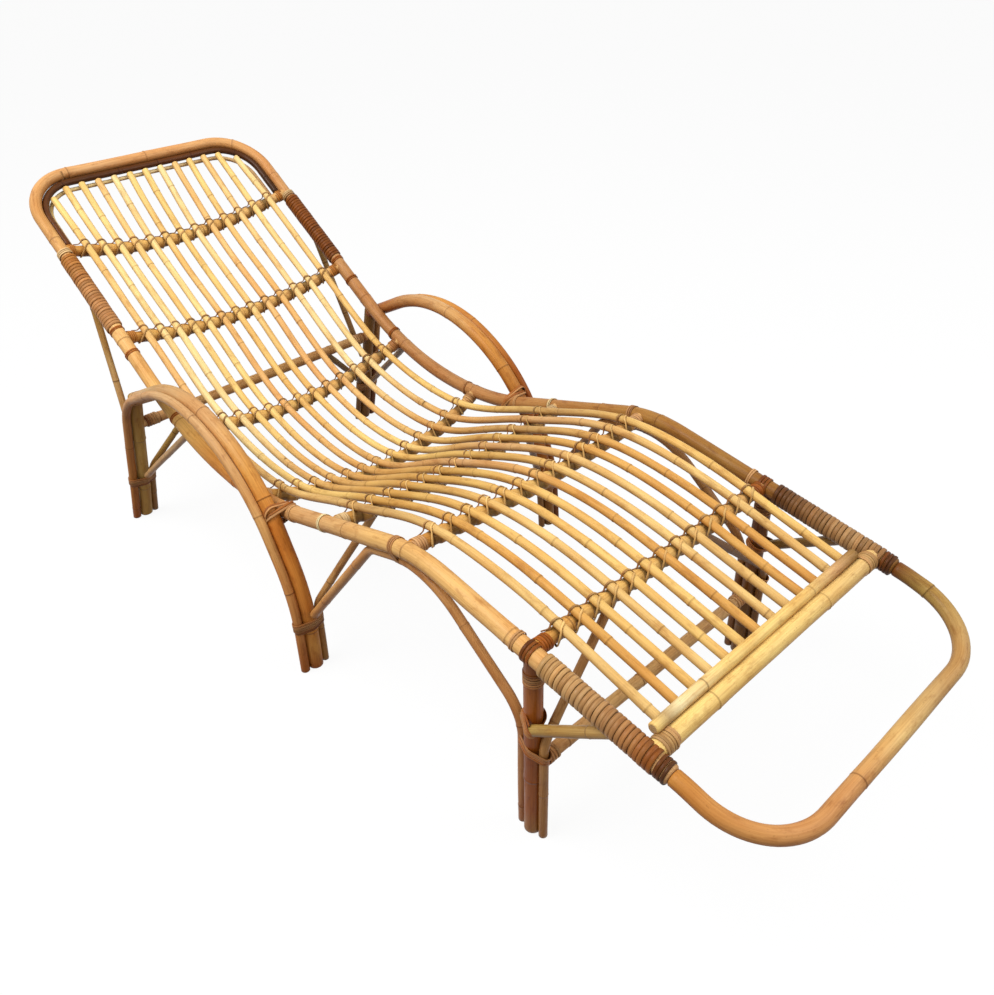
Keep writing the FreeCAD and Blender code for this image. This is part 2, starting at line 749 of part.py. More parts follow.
def check_gap(label, path, dia, loop_length):
    """Prints a winding's least gap to itself, which has to stay open."""
    gap = own_gap(path, dia, loop_length)
    print("%s: least gap to itself %.2f mm" % (label, gap))
    if gap <= LEAST_OWN_GAP:
        raise ValueError("%s touches itself" % label)


def winding(label, base, axis, across, circles, loops, dia, pitch):
    """One unbroken strand wound round canes, climbing along the axis, with straight ends."""
    along = axis.cross(across)
    start, start_angle, stations = taut_loop(circles, dia / 2 + FIT)
    loop_length = sum(station[2] for station in stations)
    climb = pitch / loop_length

    def lifted(place, height):
        return base + across * place[0] + along * place[1] + axis * height

    def aimed(angle):
        return unit(across * math.cos(angle) + along * math.sin(angle) + axis * climb)

    place = lifted(start, 0)
    heading = aimed(start_angle)
    edges = [Part.LineSegment(place - heading * dia, place).toShape()]
    run = 0.0
    for _ in range(int(loops)):
        for flat_place, angle, length, straight in stations:
            run += length
            next_place = lifted(flat_place, run * climb)
            next_heading = aimed(angle)
            if straight:
                edges.append(Part.LineSegment(place, next_place).toShape())
            else:
                edges.extend(biarc(place, heading, next_place, next_heading))
            place, heading = next_place, next_heading
    edges.append(Part.LineSegment(place, place + heading * dia).toShape())
    path = Part.Wire(edges)
    check_gap(label, path, dia, loop_length)
    return tube(path, dia / 2)


def binding_node(label, strands):
    """Group of like bindings as one sub-part."""
    group = document.addObject("Part::Feature", label)
    group.Shape = Part.makeCompound(strands)
    keep(group, label)


wrap_dia = size("wrap_dia")
wrap_pitch = size("wrap_pitch")
lash_dia = size("lash_dia")
lash_pitch = size("lash_pitch")
margin = size("wrap_margin")


def wraps_between(label, low, high, radius):
    """Close wraps along a straight cane, as strands of up to the most loops."""
    heading = unit(high - low)
    room = (high - low).Length
    strands = math.ceil(room / wrap_pitch / MOST_LOOPS)
    loops = int(room / strands / wrap_pitch) - 1
    solids = []
    for strand in range(strands):
        base = low + heading * (room * strand / strands + wrap_dia / 2)
        solids.append(winding(label, base, heading, ACROSS, [(0, 0, radius)], loops, wrap_dia, wrap_pitch))
    return solids


def along_rail(x, y, distance):
    """Point on the rail's centre line at a distance towards the head from a place."""
    centre, heading = rail_at(y)
    return at_x(centre + heading * distance, x)


lash_length = (size("rail_lash_loops") + 1) * lash_pitch
beside_bar = crossbar_radius + lash_dia + 2 * FIT + margin
for side_name, side in SIDES:
    x = side * half_width
    low = along_rail(x, bar_y["back_crossbar"], beside_bar + lash_length + margin)
    high = along_rail(x, bar_y["head_crossbar"], -(beside_bar + lash_length + margin))
    label = "back_rail_binding_" + side_name
    binding_node(label, wraps_between(label, low, high, rail_radius))
    low = along_rail(x, end_bar_y, beside_end_bar)
    high = along_rail(x, front_y, -(front_radius + margin))
    label = "foot_rail_binding_" + side_name
    solids = wraps_between(label, low, high, rail_radius)
    base = along_rail(x, end_bar_y, wrap_dia / 2 - beside_end_bar - splice_wrap_length)
    solids.append(winding(label, base, leg_line, ACROSS, [(0, 0, rail_radius)], size("splice_loops"),
                          wrap_dia, wrap_pitch))
    binding_node(label, solids)


def end_wraps(label, centre, inner_x, radius, loops, dia, pitch):
    """Wraps round both ends of a bar, against the canes that it stands between."""
    solids = []
    for _, side in SIDES:
        base = at_x(centre, side * (inner_x - dia / 2 - FIT))
        axis = Vector(-side, 0, 0)
        solids.append(winding(label, base, axis, Vector(0, 1, 0), [(0, 0, radius)], loops, dia, pitch))
    return solids


rail_inner = half_width - rail_radius - FIT
binding_node("end_bar_bindings", end_wraps("end_bar_bindings", end_bar_centre, rail_inner, end_bar_radius,
                                           size("end_bar_loops"), lash_dia, lash_pitch))
bar_wrap_length = size("bar_end_loops") * lash_pitch
solids = []
for name in ("lumbar_crossbar", "seat_crossbar", "thigh_crossbar", "knee_crossbar", "calf_crossbar"):
    for _, side in SIDES:
        from_rail = rail_radius + lash_dia / 2 + 2 * FIT + bar_wrap_length / 2
        angle = bar_angle(name, half_width) - from_rail / bar_radius[name]
        place, across, rise = bar_frame(name, side * angle)
        axis = across * -side
        solids.append(winding("bar_end_bindings", place - axis * (bar_wrap_length / 2), axis, rise,
                              [(0, 0, crossbar_radius)], size("bar_end_loops"), lash_dia, lash_pitch))
binding_node("bar_end_bindings", solids)

stretcher_radius = half("stretcher_dia")
rear_inner = abs(rear_ends[0].x) - post_radius - FIT
solids = end_wraps("stretcher_bindings", front_ends[0], half_width - front_radius - FIT, stretcher_radius,
                   size("stretcher_end_loops"), wrap_dia, wrap_pitch)
solids += end_wraps("stretcher_bindings", rear_ends[0], rear_inner, stretcher_radius,
                    size("stretcher_end_loops"), wrap_dia, wrap_pitch)
binding_node("stretcher_bindings", solids)


def rail_lash(x, y, distance, loops, circles):
    """Short lashing round the rail, and what lies under it, at a distance from a crossing."""
    base = along_rail(x, y, distance)
    heading = rail_at(base.y)[1]
    centre = at_x(rail_at(base.y)[0], x)
    return winding("rail_lashings", centre, heading, ACROSS, circles, loops, lash_dia, lash_pitch)


below_bar = -(beside_bar + lash_length)
past_arm = 1.2 * (arm_radius + margin)
past_post = 1.2 * (post_radius + margin)
lone_rail = [(0, 0, rail_radius)]
rail_and_brace = [(0, 0, rail_radius), (0, -under_rail, brace_radius)]
rail_lash_loops = size("rail_lash_loops")
solids = []
for _, side in SIDES:
    x = side * half_width
    for name in ("back_crossbar", "lumbar_crossbar", "seat_crossbar", "thigh_crossbar", "calf_crossbar"):
        solids.append(rail_lash(x, bar_y[name], beside_bar, rail_lash_loops, lone_rail))
    solids.append(rail_lash(x, bar_y["head_crossbar"], below_bar, rail_lash_loops, lone_rail))
    solids.append(rail_lash(x, bar_y["knee_crossbar"], beside_bar + 2 * lash_pitch, size("knee_lash_loops"),
                            rail_and_brace))
    solids.append(rail_lash(x, cross_y, -(past_arm + lash_length), rail_lash_loops, lone_rail))
    solids.append(rail_lash(x, joint_y, past_post, rail_lash_loops, lone_rail))
binding_node("rail_lashings", solids)

# Lashings that hold the canes of each leg together, and wraps at the top of the front posts

PINCH = 0.01


def leg_ring(outer, outer_radius, inner, inner_radius, post_radius):
    """Circles of two canes on either side of a post, in order round the bundle."""
    ring = [(outer, 0, outer_radius), (0, PINCH, post_radius)]
    return ring + [(inner, 0, inner_radius), (0, -PINCH, post_radius)]


def leg_lash(base, axis, across, ring):
    """Lashing round the canes of one leg."""
    return winding("leg_bindings", base, axis, across, ring, size("leg_lash_loops"), lash_dia, lash_pitch)


solids = []
for _, side in SIDES:
    outward = Vector(side, 0, 0)
    leg_foot = in_arm(side, arm_foot_y, 0)
    leg_axis = unit(in_arm(side, lower_bend_y, size("arm_lower_bend_height")) - leg_foot)
    post_foot = in_arm(side, rear_foot_y, 0)
    post_axis = unit(in_arm(side, post_y(post_top_z), post_top_z) - post_foot)
    for base, axis, height, radius in (
            (leg_foot, leg_axis, size("leg_lash_height_mid"), arm_radius),
            (post_foot, post_axis, size("leg_lash_height_rear"), half("rear_post_dia"))):
        ring = leg_ring(hoop_out, hoop_radius, brace_in, brace_radius, radius)
        across = unit(outward - axis * axis.dot(outward))
        solids.append(leg_lash(base + axis * (height / axis.z), axis, across, ring))
    ring = leg_ring(post_to_brace, brace_radius, -post_to_brace, brace_radius, front_radius)
    base = Vector(side * half_width, front_y, size("leg_lash_height_front"))
    solids.append(leg_lash(base, Vector(0, 0, 1), Vector(0, 1, 0), ring))
    base = Vector(side * half_width, front_y, front_top - rail_radius - lash_dia - 2 * margin)
    solids.append(winding("leg_bindings", base, Vector(0, 0, -1), ACROSS, [(0, 0, front_radius)],
                          size("post_top_loops"), lash_dia, lash_pitch))
binding_node("leg_bindings", solids)

# Strand that ties every slat to a crossbar with a slanting loop

slat_lash_dia = size("slat_lash_dia")
lash_reach = slat_lash_dia / 2 + FIT
lash_side = crossbar_radius + lash_reach
lash_top = slat_on_bar + slat_radius + lash_reach


def slat_lashing(index):
    """One strand along a crossbar, over each slat and under the bar between slats."""
    points = []
    side = size("slat_lash_side")
    for x in slat_xs:
        place, across, heading, rise = slat_rests(x)[0][index]
        ahead, below, above = heading * -lash_side, rise * -lash_side, rise * lash_top
        points += [place - across * side + ahead + below, place - across * side + ahead + above,
                   place + across * side - ahead + above, place + across * side - ahead + below]
    low, high = size("slat_lash_low_radius"), size("slat_lash_high_radius")
    radii = [low, high, high, low] * len(slat_xs)
    points[0] = (points[0] + points[1]) * 0.5
    points[-1] = (points[-1] + points[-2]) * 0.5
    path = bent_path(points, radii[1:-1])
    check_gap("slat_lashings", path, slat_lash_dia, path.Length / len(slat_xs))
    return tube(path, slat_lash_dia / 2)


binding_node("slat_lashings", [slat_lashing(index) for index in range(len(bar_y))])

# Checks and files

document.recompute()
for item in document.Objects:
    if "Invalid" in item.State or "Error" in item.State:
        raise RuntimeError("%s did not build" % item.Label)
for node in nodes:
    if node.Shape.isNull() or not node.Shape.isValid() or not node.Shape.Solids:
        raise RuntimeError("%s has no sound shape" % node.Label)
os.makedirs("parts", exist_ok=True)
for node in nodes:
    node.Shape.exportStep("parts/%s.step" % node.Label)
    print("%s: %d solid(s), %.0f mm3" % (node.Label, len(node.Shape.Solids), node.Shape.Volume))
print("%d sub-parts" % len(nodes))
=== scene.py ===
import math
import random

import bpy
import numpy as np
from mathutils import Matrix, Vector, noise


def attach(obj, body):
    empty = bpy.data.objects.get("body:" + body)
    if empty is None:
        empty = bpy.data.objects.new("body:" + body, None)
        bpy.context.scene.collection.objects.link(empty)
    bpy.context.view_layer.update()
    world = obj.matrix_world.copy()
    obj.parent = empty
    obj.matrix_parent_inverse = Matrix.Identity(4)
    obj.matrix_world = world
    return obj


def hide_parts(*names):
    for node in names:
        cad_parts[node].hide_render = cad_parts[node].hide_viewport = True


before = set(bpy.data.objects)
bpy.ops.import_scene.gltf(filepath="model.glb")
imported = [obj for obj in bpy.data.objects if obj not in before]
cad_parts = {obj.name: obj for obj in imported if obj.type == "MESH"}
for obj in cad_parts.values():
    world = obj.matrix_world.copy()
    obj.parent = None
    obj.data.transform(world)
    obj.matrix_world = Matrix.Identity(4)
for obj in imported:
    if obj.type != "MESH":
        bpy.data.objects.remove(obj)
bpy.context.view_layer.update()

MM = 0.001
SIDES = (("right", -1), ("left", 1))

# Driving sizes of the frame in millimetres and degrees
FIT = 0.3
RAIL_DIA, HALF_WIDTH = 28.5, 275
BACK, SEAT, LEG, VALLEY_HEIGHT = (700, 460), (600, 189), (624, 100), 218
VALLEY_RADIUS, KNEE_RADIUS, HEAD_CORNER, FOOT_CORNER = 595, 280, 105, 110
LOOP_DIA, LOOP_DROOP, LOOP_LEAD, LOOP_BEND = 24, 12, 20, 200
INNER_DIA, INNER_RISE = 15, -6
TOP_CANE_DIA, TOP_CANE_RISE, TOP_CANE_GAP = 9, -20, 10
BAR_DIA, END_BAR_DIA, END_BAR_FROM_FOOT = 22.5, 28.5, 184
SLAT_DIA, SLAT_COUNT, SLAT_SPACING, SLAT_FOOT_RISE = 14.5, 13, 37.2, -3
CAP_DIA, CAP_LENGTH, CAP_NEAR_REACH = 17.5, 464, 20
ARM_DIA, HOOP_DIA, POST_DIA, FRONT_POST_DIA = 28, 17, 27, 28
ARM_FOOT, REAR_FOOT, ARM_LEAN, POST_LEAN = 314, 372, 2, 16
ARM_SLOPES, ARM_BENDS, ARM_RADII = (88, 60, -27), (165, 523), (290, 308)
HOOP_REAR_RADIUS, POST_PAST_ARM, FRONT_POST_FROM_KNEE = 130, 10, 244
STRETCHER_DIA, REAR_STRETCHER_HEIGHT, FRONT_STRETCHER_HEIGHT = 22, 263, 142
BRACE_DIA, KNEE_BRACE_DIA, FOOT_BRACE_DIA, BRACE_BEND = 14, 16, 17, 45
BACK_STRUT_HEIGHT, BACK_STRUT_FROM_VALLEY = 190, 450
ARM_STRUT_HEIGHT, ARM_STRUT_FROM_VALLEY = 128, 107
KNEE_BRACE_FOOT, KNEE_BRACE_BEHIND, KNEE_BRACE_TURN, KNEE_BRACE_LEG = 130, 125, -20, 236
FOOT_BRACE_HEIGHT, FOOT_BRACE_FROM_POST, FOOT_BRACE_TURN = 245, 154, 35
MID_CORNER_HEIGHT, MID_CORNER_REACH = 132, 180
FRONT_CORNER_HEIGHT, FRONT_CORNER_REACH = 210, 100
REAR_CORNER_HEIGHT, REAR_CORNER_REACH = 132, 170
MID_LASH_HEIGHT, REAR_LASH_HEIGHT, FRONT_LASH_HEIGHT, LEG_LASH_TILT = 92, 102, 180, 0.3
MARGIN = 4

# Strips of split cane, as width and pitch
WRAP, LASH, BAR_WRAP, LONG_WRAP = (5.2, 5.8), (3.4, 4.1), (4.5, 4.6), (7.2, 7.4)
WRAP_WIDTH, WRAP_PITCH = WRAP
LASH_WIDTH, LASH_PITCH = LASH
BAR_WRAP_WIDTH, BAR_WRAP_PITCH = BAR_WRAP

# Points, directions and bent lines
ARC_STEP, MOST_OF_RUN = 0.03, 0.98


def at(x, y, z):
    """Point or direction in millimetres."""
    return np.array([x, y, z], float)


ACROSS = at(1, 0, 0)


def unit(vector):
    """Copy of a direction with length one."""
    return vector / np.linalg.norm(vector)


def units(rows):
    """Copy of directions in rows, each with length one."""
    return rows / np.linalg.norm(rows, axis=1)[:, None]


def upward(heading):
    """Normal of the side profile on its upper side."""
    return at(0, -heading[2], heading[1])


def at_x(point, x):
    """The same point in another side plane."""
    return at(x, point[1], point[2])


def corner_arc(start, corner, end):
    """Points of the arc that is tangent to both legs of a corner."""
    arrive, leave = unit(corner - start), unit(end - corner)
    angle = math.acos(np.clip(arrive @ leave, -1, 1))
    radius = np.linalg.norm(corner - start) / math.tan(angle / 2)
    centre = start + unit(leave - arrive * (arrive @ leave)) * radius
    turns = np.linspace(0, angle, max(4, int(angle / ARC_STEP)))[:, None]
    return centre + (start - centre) * np.cos(turns) + arrive * radius * np.sin(turns)


def bent_line(points, radii):
    """Straight runs through the points with an arc at each inner point."""
    runs = [after - before for before, after in zip(points, points[1:])]
    headings = [unit(run) for run in runs]
    setbacks = [0.0]
    for before, after, radius in zip(headings, headings[1:], radii):
        setbacks.append(radius * math.tan(math.acos(np.clip(before @ after, -1, 1)) / 2))
    setbacks.append(0.0)
    for index, run in enumerate(runs):
        room = MOST_OF_RUN * np.linalg.norm(run) / max(setbacks[index] + setbacks[index + 1], 1e-9)
        if room < 1:
            setbacks[index] *= room
            setbacks[index + 1] *= room
    line = [points[0][None]]
    for corner, before, after, setback in zip(points[1:], headings, headings[1:], setbacks[1:]):
        if setback > 1e-4:
            line.append(corner_arc(corner - before * setback, corner, corner + after * setback))
    return np.vstack(line + [points[-1][None]])


# Side profile of the rails, from the foot to the head
rail_radius, loop_radius, bar_radius = RAIL_DIA / 2, LOOP_DIA / 2, BAR_DIA / 2
valley_y = (SEAT[0] + LEG[0] - BACK[0] + loop_radius - rail_radius) / 2
valley = at(0, valley_y, VALLEY_HEIGHT)
head = valley + at(0, BACK[0], BACK[1])
knee = valley + at(0, -SEAT[0], SEAT[1])
foot = knee - at(0, LEG[0], LEG[1])
back_line, leg_line, seat_line = unit(head - valley), unit(knee - foot), unit(valley - knee)
profile = bent_line([foot, knee, valley, head], [KNEE_RADIUS, VALLEY_RADIUS])


def on_profile(y):
    """Centre of the rail at a place along the chaise."""
    return at(0, y, np.interp(y, profile[:, 1], profile[:, 2]))


def rail_at(y):
    """Centre of the rail at a place along the chaise, and its heading towards the head."""
    return on_profile(y), unit(on_profile(y + 2) - on_profile(y - 2))


def off_rail(x, y, rise):
    """Point beside the rail's centre line."""
    centre, heading = rail_at(y)
    return centre + upward(heading) * rise + at(x, 0, 0)


def along_rail(x, y, distance):
    """Point on the rail's line at a distance towards the head from a place."""
    centre, heading = rail_at(y)
    return at_x(centre + heading * distance, x)


# Crossbars, as their distance along from the valley or knee and the depth of their bow
BARS = {
    "head": (valley_y + 539, 60),
    "back": (valley_y + 337, 62),
    "lumbar": (valley_y + 127, 76),
    "seat": (valley_y - 127, 72),
    "thigh": (valley_y - 375, 23),
    "knee": (knee[1] + 20, 15),
    "calf": (knee[1] - 237, 6),
}


def bow_radius(name):
    """Radius of a crossbar's bow."""
    bow = BARS[name][1]
    return (HALF_WIDTH ** 2 + bow ** 2) / (2 * bow)


def bar_frame(name, angle):
    """Place at an angle of a crossbar's bow, with the directions along the bar and up from it."""
    y, bow = BARS[name]
    centre, heading = rail_at(y)
    up = upward(heading)
    across = ACROSS * math.cos(angle) + up * math.sin(angle)
    rise = up * math.cos(angle) - ACROSS * math.sin(angle)
    return centre + up * (bow_radius(name) - bow) - rise * bow_radius(name), across, rise


def bar_angle(name, x, above=0.0):
    """Angle of the bow at a place across, on the bar's line or above it."""
    return math.asin(x / (bow_radius(name) - above))


def bar_point(name, x):
    """Point on a crossbar's line at a place across."""
    return bar_frame(name, bar_angle(name, x))[0]


end_bar_y = foot[1] + END_BAR_FROM_FOOT
end_bar_centre = on_profile(end_bar_y)
end_bar_radius = END_BAR_DIA / 2
beside_end_bar = end_bar_radius + LASH_WIDTH + 2 * FIT
splice_length = 3 * WRAP_PITCH
splice = end_bar_centre - leg_line * (beside_end_bar + splice_length)

# Places of the arms, posts and braces
arm_radius, post_radius, hoop_radius, brace_radius = ARM_DIA / 2, POST_DIA / 2, HOOP_DIA / 2, BRACE_DIA / 2
front_radius, stretcher_radius = FRONT_POST_DIA / 2, STRETCHER_DIA / 2
arm_foot_y, rear_foot_y = valley_y - ARM_FOOT, valley_y + REAR_FOOT
lean, post_slope = math.tan(math.radians(ARM_LEAN)), math.tan(math.radians(POST_LEAN))


def slope_run(rise, degrees):
    """Run that goes with a rise on a slope."""
    return rise / math.tan(math.radians(degrees))


lower_bend_y = arm_foot_y + slope_run(ARM_BENDS[0], ARM_SLOPES[0])
upper_bend_y = lower_bend_y + slope_run(ARM_BENDS[1] - ARM_BENDS[0], ARM_SLOPES[1])
cross_y = lower_bend_y
for _ in range(12):
    cross_y = lower_bend_y + slope_run(on_profile(cross_y)[2] - ARM_BENDS[0], ARM_SLOPES[1])
cross_z = on_profile(cross_y)[2]
cross_x = HALF_WIDTH + rail_radius + arm_radius + 2 * FIT
hoop_out = arm_radius + hoop_radius + FIT
brace_in = -(arm_radius + brace_radius + FIT)


def in_arm(side, y, z, out=0.0):
    """Point in the leaning plane of an arm, or in a plane beside it."""
    return at(side * (cross_x - (z - cross_z) * lean + out), y, z)


def post_y(z):
    """Place of the rear post's line at a height."""
    return rear_foot_y - z * post_slope


back_slope = math.tan(math.radians(ARM_SLOPES[2]))
joint_z = (ARM_BENDS[1] + (rear_foot_y - upper_bend_y) * back_slope) / (1 + post_slope * back_slope)
joint_y = post_y(joint_z)
post_top_z = joint_z + POST_PAST_ARM
front_y = knee[1] - FRONT_POST_FROM_KNEE
front_top = on_profile(front_y)[2]
post_to_brace = front_radius + brace_radius + FIT
under_rail = -(rail_radius + brace_radius + FIT)


def on_front(side, z, behind=0.0):
    """Point on the front post's line, or behind it towards the head."""
    return at(side * HALF_WIDTH, front_y + behind, z)


# Palette of varnished rattan, as display colours


def linear(red, green, blue):
    """Linear colour from display values out of 255."""
    return np.array([((c / 255 + 0.055) / 1.055) ** 2.4 if c > 10 else c / 3295 for c in (red, green, blue)])


CREAM = linear(247, 228, 176)
STRAW = linear(240, 206, 128)
GOLD = linear(224, 177, 100)
AMBER = linear(208, 148, 72)
ORANGE = linear(198, 120, 44)
RUST = linear(160, 90, 28)
UMBER = linear(114, 64, 20)
SOOT = linear(62, 38, 18)
OLIVE = linear(172, 140, 74)
TAN = linear(206, 162, 110)
KHAKI = linear(178, 140, 94)
PEACH = linear(232, 180, 126)
ASH = linear(194, 164, 122)
PITH = linear(205, 172, 122)
PORE = linear(120, 84, 50)


def blend(first, second, share):
    """Colour between two of the palette."""
    return first * (1 - share) + second * share


# Meshes of canes, which carry their grain, colour, node rings and cut ends as attributes


def wave(place, length, seed):
    """Smooth noise between about -1 and 1 along a line."""
    return np.array([noise.noise(Vector((p / length, seed * 7.31, seed * 1.77))) * 1.6 for p in place])


def distances(line):
    """Distance of each point of a line from its start."""
    return np.concatenate([[0], np.cumsum(np.linalg.norm(np.diff(line, axis=0), axis=1))])


def between(places, run, rows):
    """Rows of values at places of a run."""
    return np.stack([np.interp(places, run, column) for column in np.transpose(rows)], axis=1)


def sampled(line, places):
    """Points of a line at distances from its start."""
    return between(places, distances(line), line)


def carried_frames(points):
    """Tangents and two normals along a line, without twist."""
    tangents = units(np.gradient(points, axis=0))
    normal = ACROSS if abs(tangents[0][0]) < 0.7 else at(0, 0, 1)
    normals = []
    for tangent in tangents:
        normal = unit(normal - tangent * (normal @ tangent))
        normals.append(normal)
    normals = np.array(normals)
    return tangents, normals, np.cross(tangents, normals)


def linked(name, data):
    """New object in the scene."""
    piece = bpy.data.objects.new(name, data)
    bpy.context.collection.objects.link(piece)
    return piece


def make_object(name, parts, material, nodes):
    """Mesh object from parts of vertices, faces and attributes, which stands for CAD nodes."""
    vertices, faces, data = [], [], {"tone": [], "grain": [], "knot": [], "pith": []}
    offset = 0
    for part in parts:
        vertices.append(part["vertices"] * MM)
        faces.extend([[corner + offset for corner in face] for face in part["faces"]])
        for key, values in data.items():
            values.append(part[key])
        offset += len(part["vertices"])
    mesh = bpy.data.meshes.new(name)
    mesh.from_pydata(np.vstack(vertices).tolist(), [], faces)
    tone = np.vstack(data["tone"])
    tone = np.hstack([tone, np.ones((len(tone), 1))])
    mesh.attributes.new("tone", "FLOAT_COLOR", "POINT").data.foreach_set("color", tone.ravel())
    grain = np.vstack(data["grain"]).ravel()
    mesh.attributes.new("grain", "FLOAT_VECTOR", "POINT").data.foreach_set("vector", grain)
    for key in ("knot", "pith"):
        mesh.attributes.new(key, "FLOAT", "POINT").data.foreach_set("value", np.concatenate(data[key]))
    mesh.polygons.foreach_set("use_smooth", np.ones(len(mesh.polygons), bool))
    mesh.materials.append(material)
    piece = linked(name, mesh)
    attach(piece, "root")
    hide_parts(*nodes)


def tone_along(stops, share):
    """Colours at shares of a length, from stops of a share and a colour, or of a share and a blend."""
    colours = [blend(*stop[1:]) if len(stop) > 2 else stop[1] for stop in stops]
    return between(share, [stop[0] for stop in stops], colours)


RING_CLEAR, CHAMFER_SHARE, STATION_STEP, END_FADE = 14, 0.09, 8, 60


def node_places(length, spacing, chance):
    """Uneven places of the node rings along a cane."""
    places = []
    place = chance.uniform(0.15, 0.9) * spacing
    while place < length - RING_CLEAR:
        if place > RING_CLEAR:
            places.append(place)
        place += spacing * chance.uniform(0.7, 1.3)
    return places


REST_STEPS = (-18, -14, -12, -10, -8, -6, -4, 0, 4, 6, 8, 10, 12, 14, 18)
RING_STEPS = (-14, -9, -5.5, -3.2, -2, -1.2, -0.5, 0.2, 1, 2, 3.4, 6, 10, 15)


def tube_faces(rings, sides):
    """Quads between rings of vertices."""
    faces = []
    for ring in range(rings - 1):
        for side in range(sides):
            after = (side + 1) % sides
            low, high = ring * sides, (ring + 1) * sides
            faces.append([low + side, low + after, high + after, high + side])
    return faces


# Colour the tone is multiplied by as painted shade on the undersides of canes
UNDERSIDE_SHADE = at(0.54, 0.37, 0.21)
REST_HALF, REST_RISE = 5.0, 7.0


def rest_share(away):
    """Zero where a slat lies on a bar, rising to one between the slats."""
    share = np.clip((away - REST_HALF) / REST_RISE, 0, 1)
    return share * share * (3 - 2 * share)


def cane_part(line, dia, stops, seed, spacing=240.0, sides=20, wobble=0.7, ridge=0.05, feet=(False, False),
              rests=None, bead=0.0, taper=((0, 1), (1, 1))):
    """One cane along a line, with node ridges, a slight wander and chamfered cut ends."""
    chance = random.Random(seed)
    length = distances(line)[-1]
    knots = node_places(length, spacing, chance)
    chamfer = CHAMFER_SHARE * dia
    stations = [np.linspace(0, length, max(3, int(length / STATION_STEP))), [chamfer, length - chamfer]]
    stations += [[knot + step for step in RING_STEPS] for knot in knots]
    if rests is not None:
        stations += [rests + step for step in REST_STEPS]
    stations = np.unique(np.clip(np.concatenate(stations), 0, length).round(2))
    points = sampled(line, stations)
    tangents, normals, sideways = carried_frames(points)
    fade = np.clip(np.minimum(stations, length - stations) / END_FADE, 0, 1)
    points = points + normals * (wave(stations, 170, seed) * wobble * fade)[:, None]
    points = points + sideways * (wave(stations, 210, seed + 40) * wobble * fade)[:, None]
    radii = dia / 2 * (1 + 0.02 * wave(stations, 120, seed + 80))
    radii *= np.interp(stations / length, *zip(*taper))
    ring_dark = np.zeros(len(stations))
    for knot in knots:
        away = stations - knot
        lift = chance.uniform(0.6, 1.3) * ridge * dia / 2
        radii += lift * (np.exp(-(away / 2.4) ** 2) + 0.45 * np.exp(-((away - 7) / 8) ** 2))
        radii -= 0.35 * lift * np.exp(-((away + 3.2) / 1.3) ** 2)
        ring_dark += chance.uniform(0.55, 1.0) * np.exp(-((away + 1.2) / 1.1) ** 2)
    contact = np.ones(len(stations))
    if rests is not None:
        contact = rest_share(np.abs(stations[:, None] - rests[None]).min(1))
        radii += bead * contact * ((stations > rests[0]) & (stations < rests[-1]))
    angles = np.arange(sides) * 2 * math.pi / sides
    oval = 1 + 0.015 * np.cos(2 * angles[None] + 3 * wave(stations, 300, seed + 120)[:, None])
    reach = radii[:, None] * oval
    reach[[0, -1]] *= 1 - 2 * chamfer / dia
    cosine, sine = np.cos(angles)[None, :, None], np.sin(angles)[None, :, None]
    rings = points[:, None] + reach[:, :, None] * (normals[:, None] * cosine + sideways[:, None] * sine)
    for flat, heights in zip(feet, ((0, 1), (-1, -2))):
        if flat:
            for index, level in zip(heights, (0.0, chamfer)):
                shift = (level - rings[index][:, 2]) / tangents[index][2]
                rings[index] = rings[index] + tangents[index] * shift[:, None]
    places = np.repeat(stations[:, None], sides, 1)
    grain = np.stack([places, reach * np.cos(angles), reach * np.sin(angles)], 2)
    # Painted shade: the tone is darker on the downward-facing side of each cane
    facing = (normals[:, None] * cosine + sideways[:, None] * sine)[:, :, 2:]
    below = np.clip(0.33 - 0.9 * facing, 0, 1)
    # Painted shade: a crossbar's tone drops to 0.4 where a slat lies on it
    tone = tone_along(stops, stations / length) * (0.4 + 0.6 * contact)[:, None]
    tone = tone[:, None] * (1 - below * (1 - UNDERSIDE_SHADE))
    dark = np.repeat(ring_dark[:, None], sides, 1)
    part = {"vertices": rings.reshape(-1, 3), "faces": tube_faces(len(stations), sides),
            "grain": grain.reshape(-1, 3), "tone": tone.reshape(-1, 3), "knot": np.clip(dark.ravel(), 0, 1),
            "pith": np.zeros(len(stations) * sides)}
    close_ends(part, sides)
    part["grain"] = part["grain"] * MM + at(seed * 3.7, 0, 0)
    return part


def close_ends(part, sides):
    """Adds an inner ring and a middle vertex to both ends of a cane."""
    count = len(part["vertices"])
    for start in (0, count - sides):
        ring = np.arange(start, start + sides)
        centre = part["vertices"][ring].mean(0)
        base = len(part["vertices"])
        for key, inner in (("vertices", centre), ("grain", part["grain"][ring].mean(0))):
            values = part[key]
            part[key] = np.vstack([values, values[ring] * 0.8 + inner * 0.2, inner[None]])
        part["tone"] = np.vstack([part["tone"], part["tone"][ring], part["tone"][ring[:1]]])
        part["knot"] = np.concatenate([part["knot"], np.zeros(sides + 1)])
        part["pith"] = np.concatenate([part["pith"], np.ones(sides + 1)])
        for side in range(sides):
            after = (side + 1) % sides
            quad = [start + side, start + after, base + after, base + side]
            fan = [base + side, base + after, base + sides]
            if start == 0:
                quad.reverse()
                fan.reverse()
            part["faces"].append(quad)
            part["faces"].append(fan)


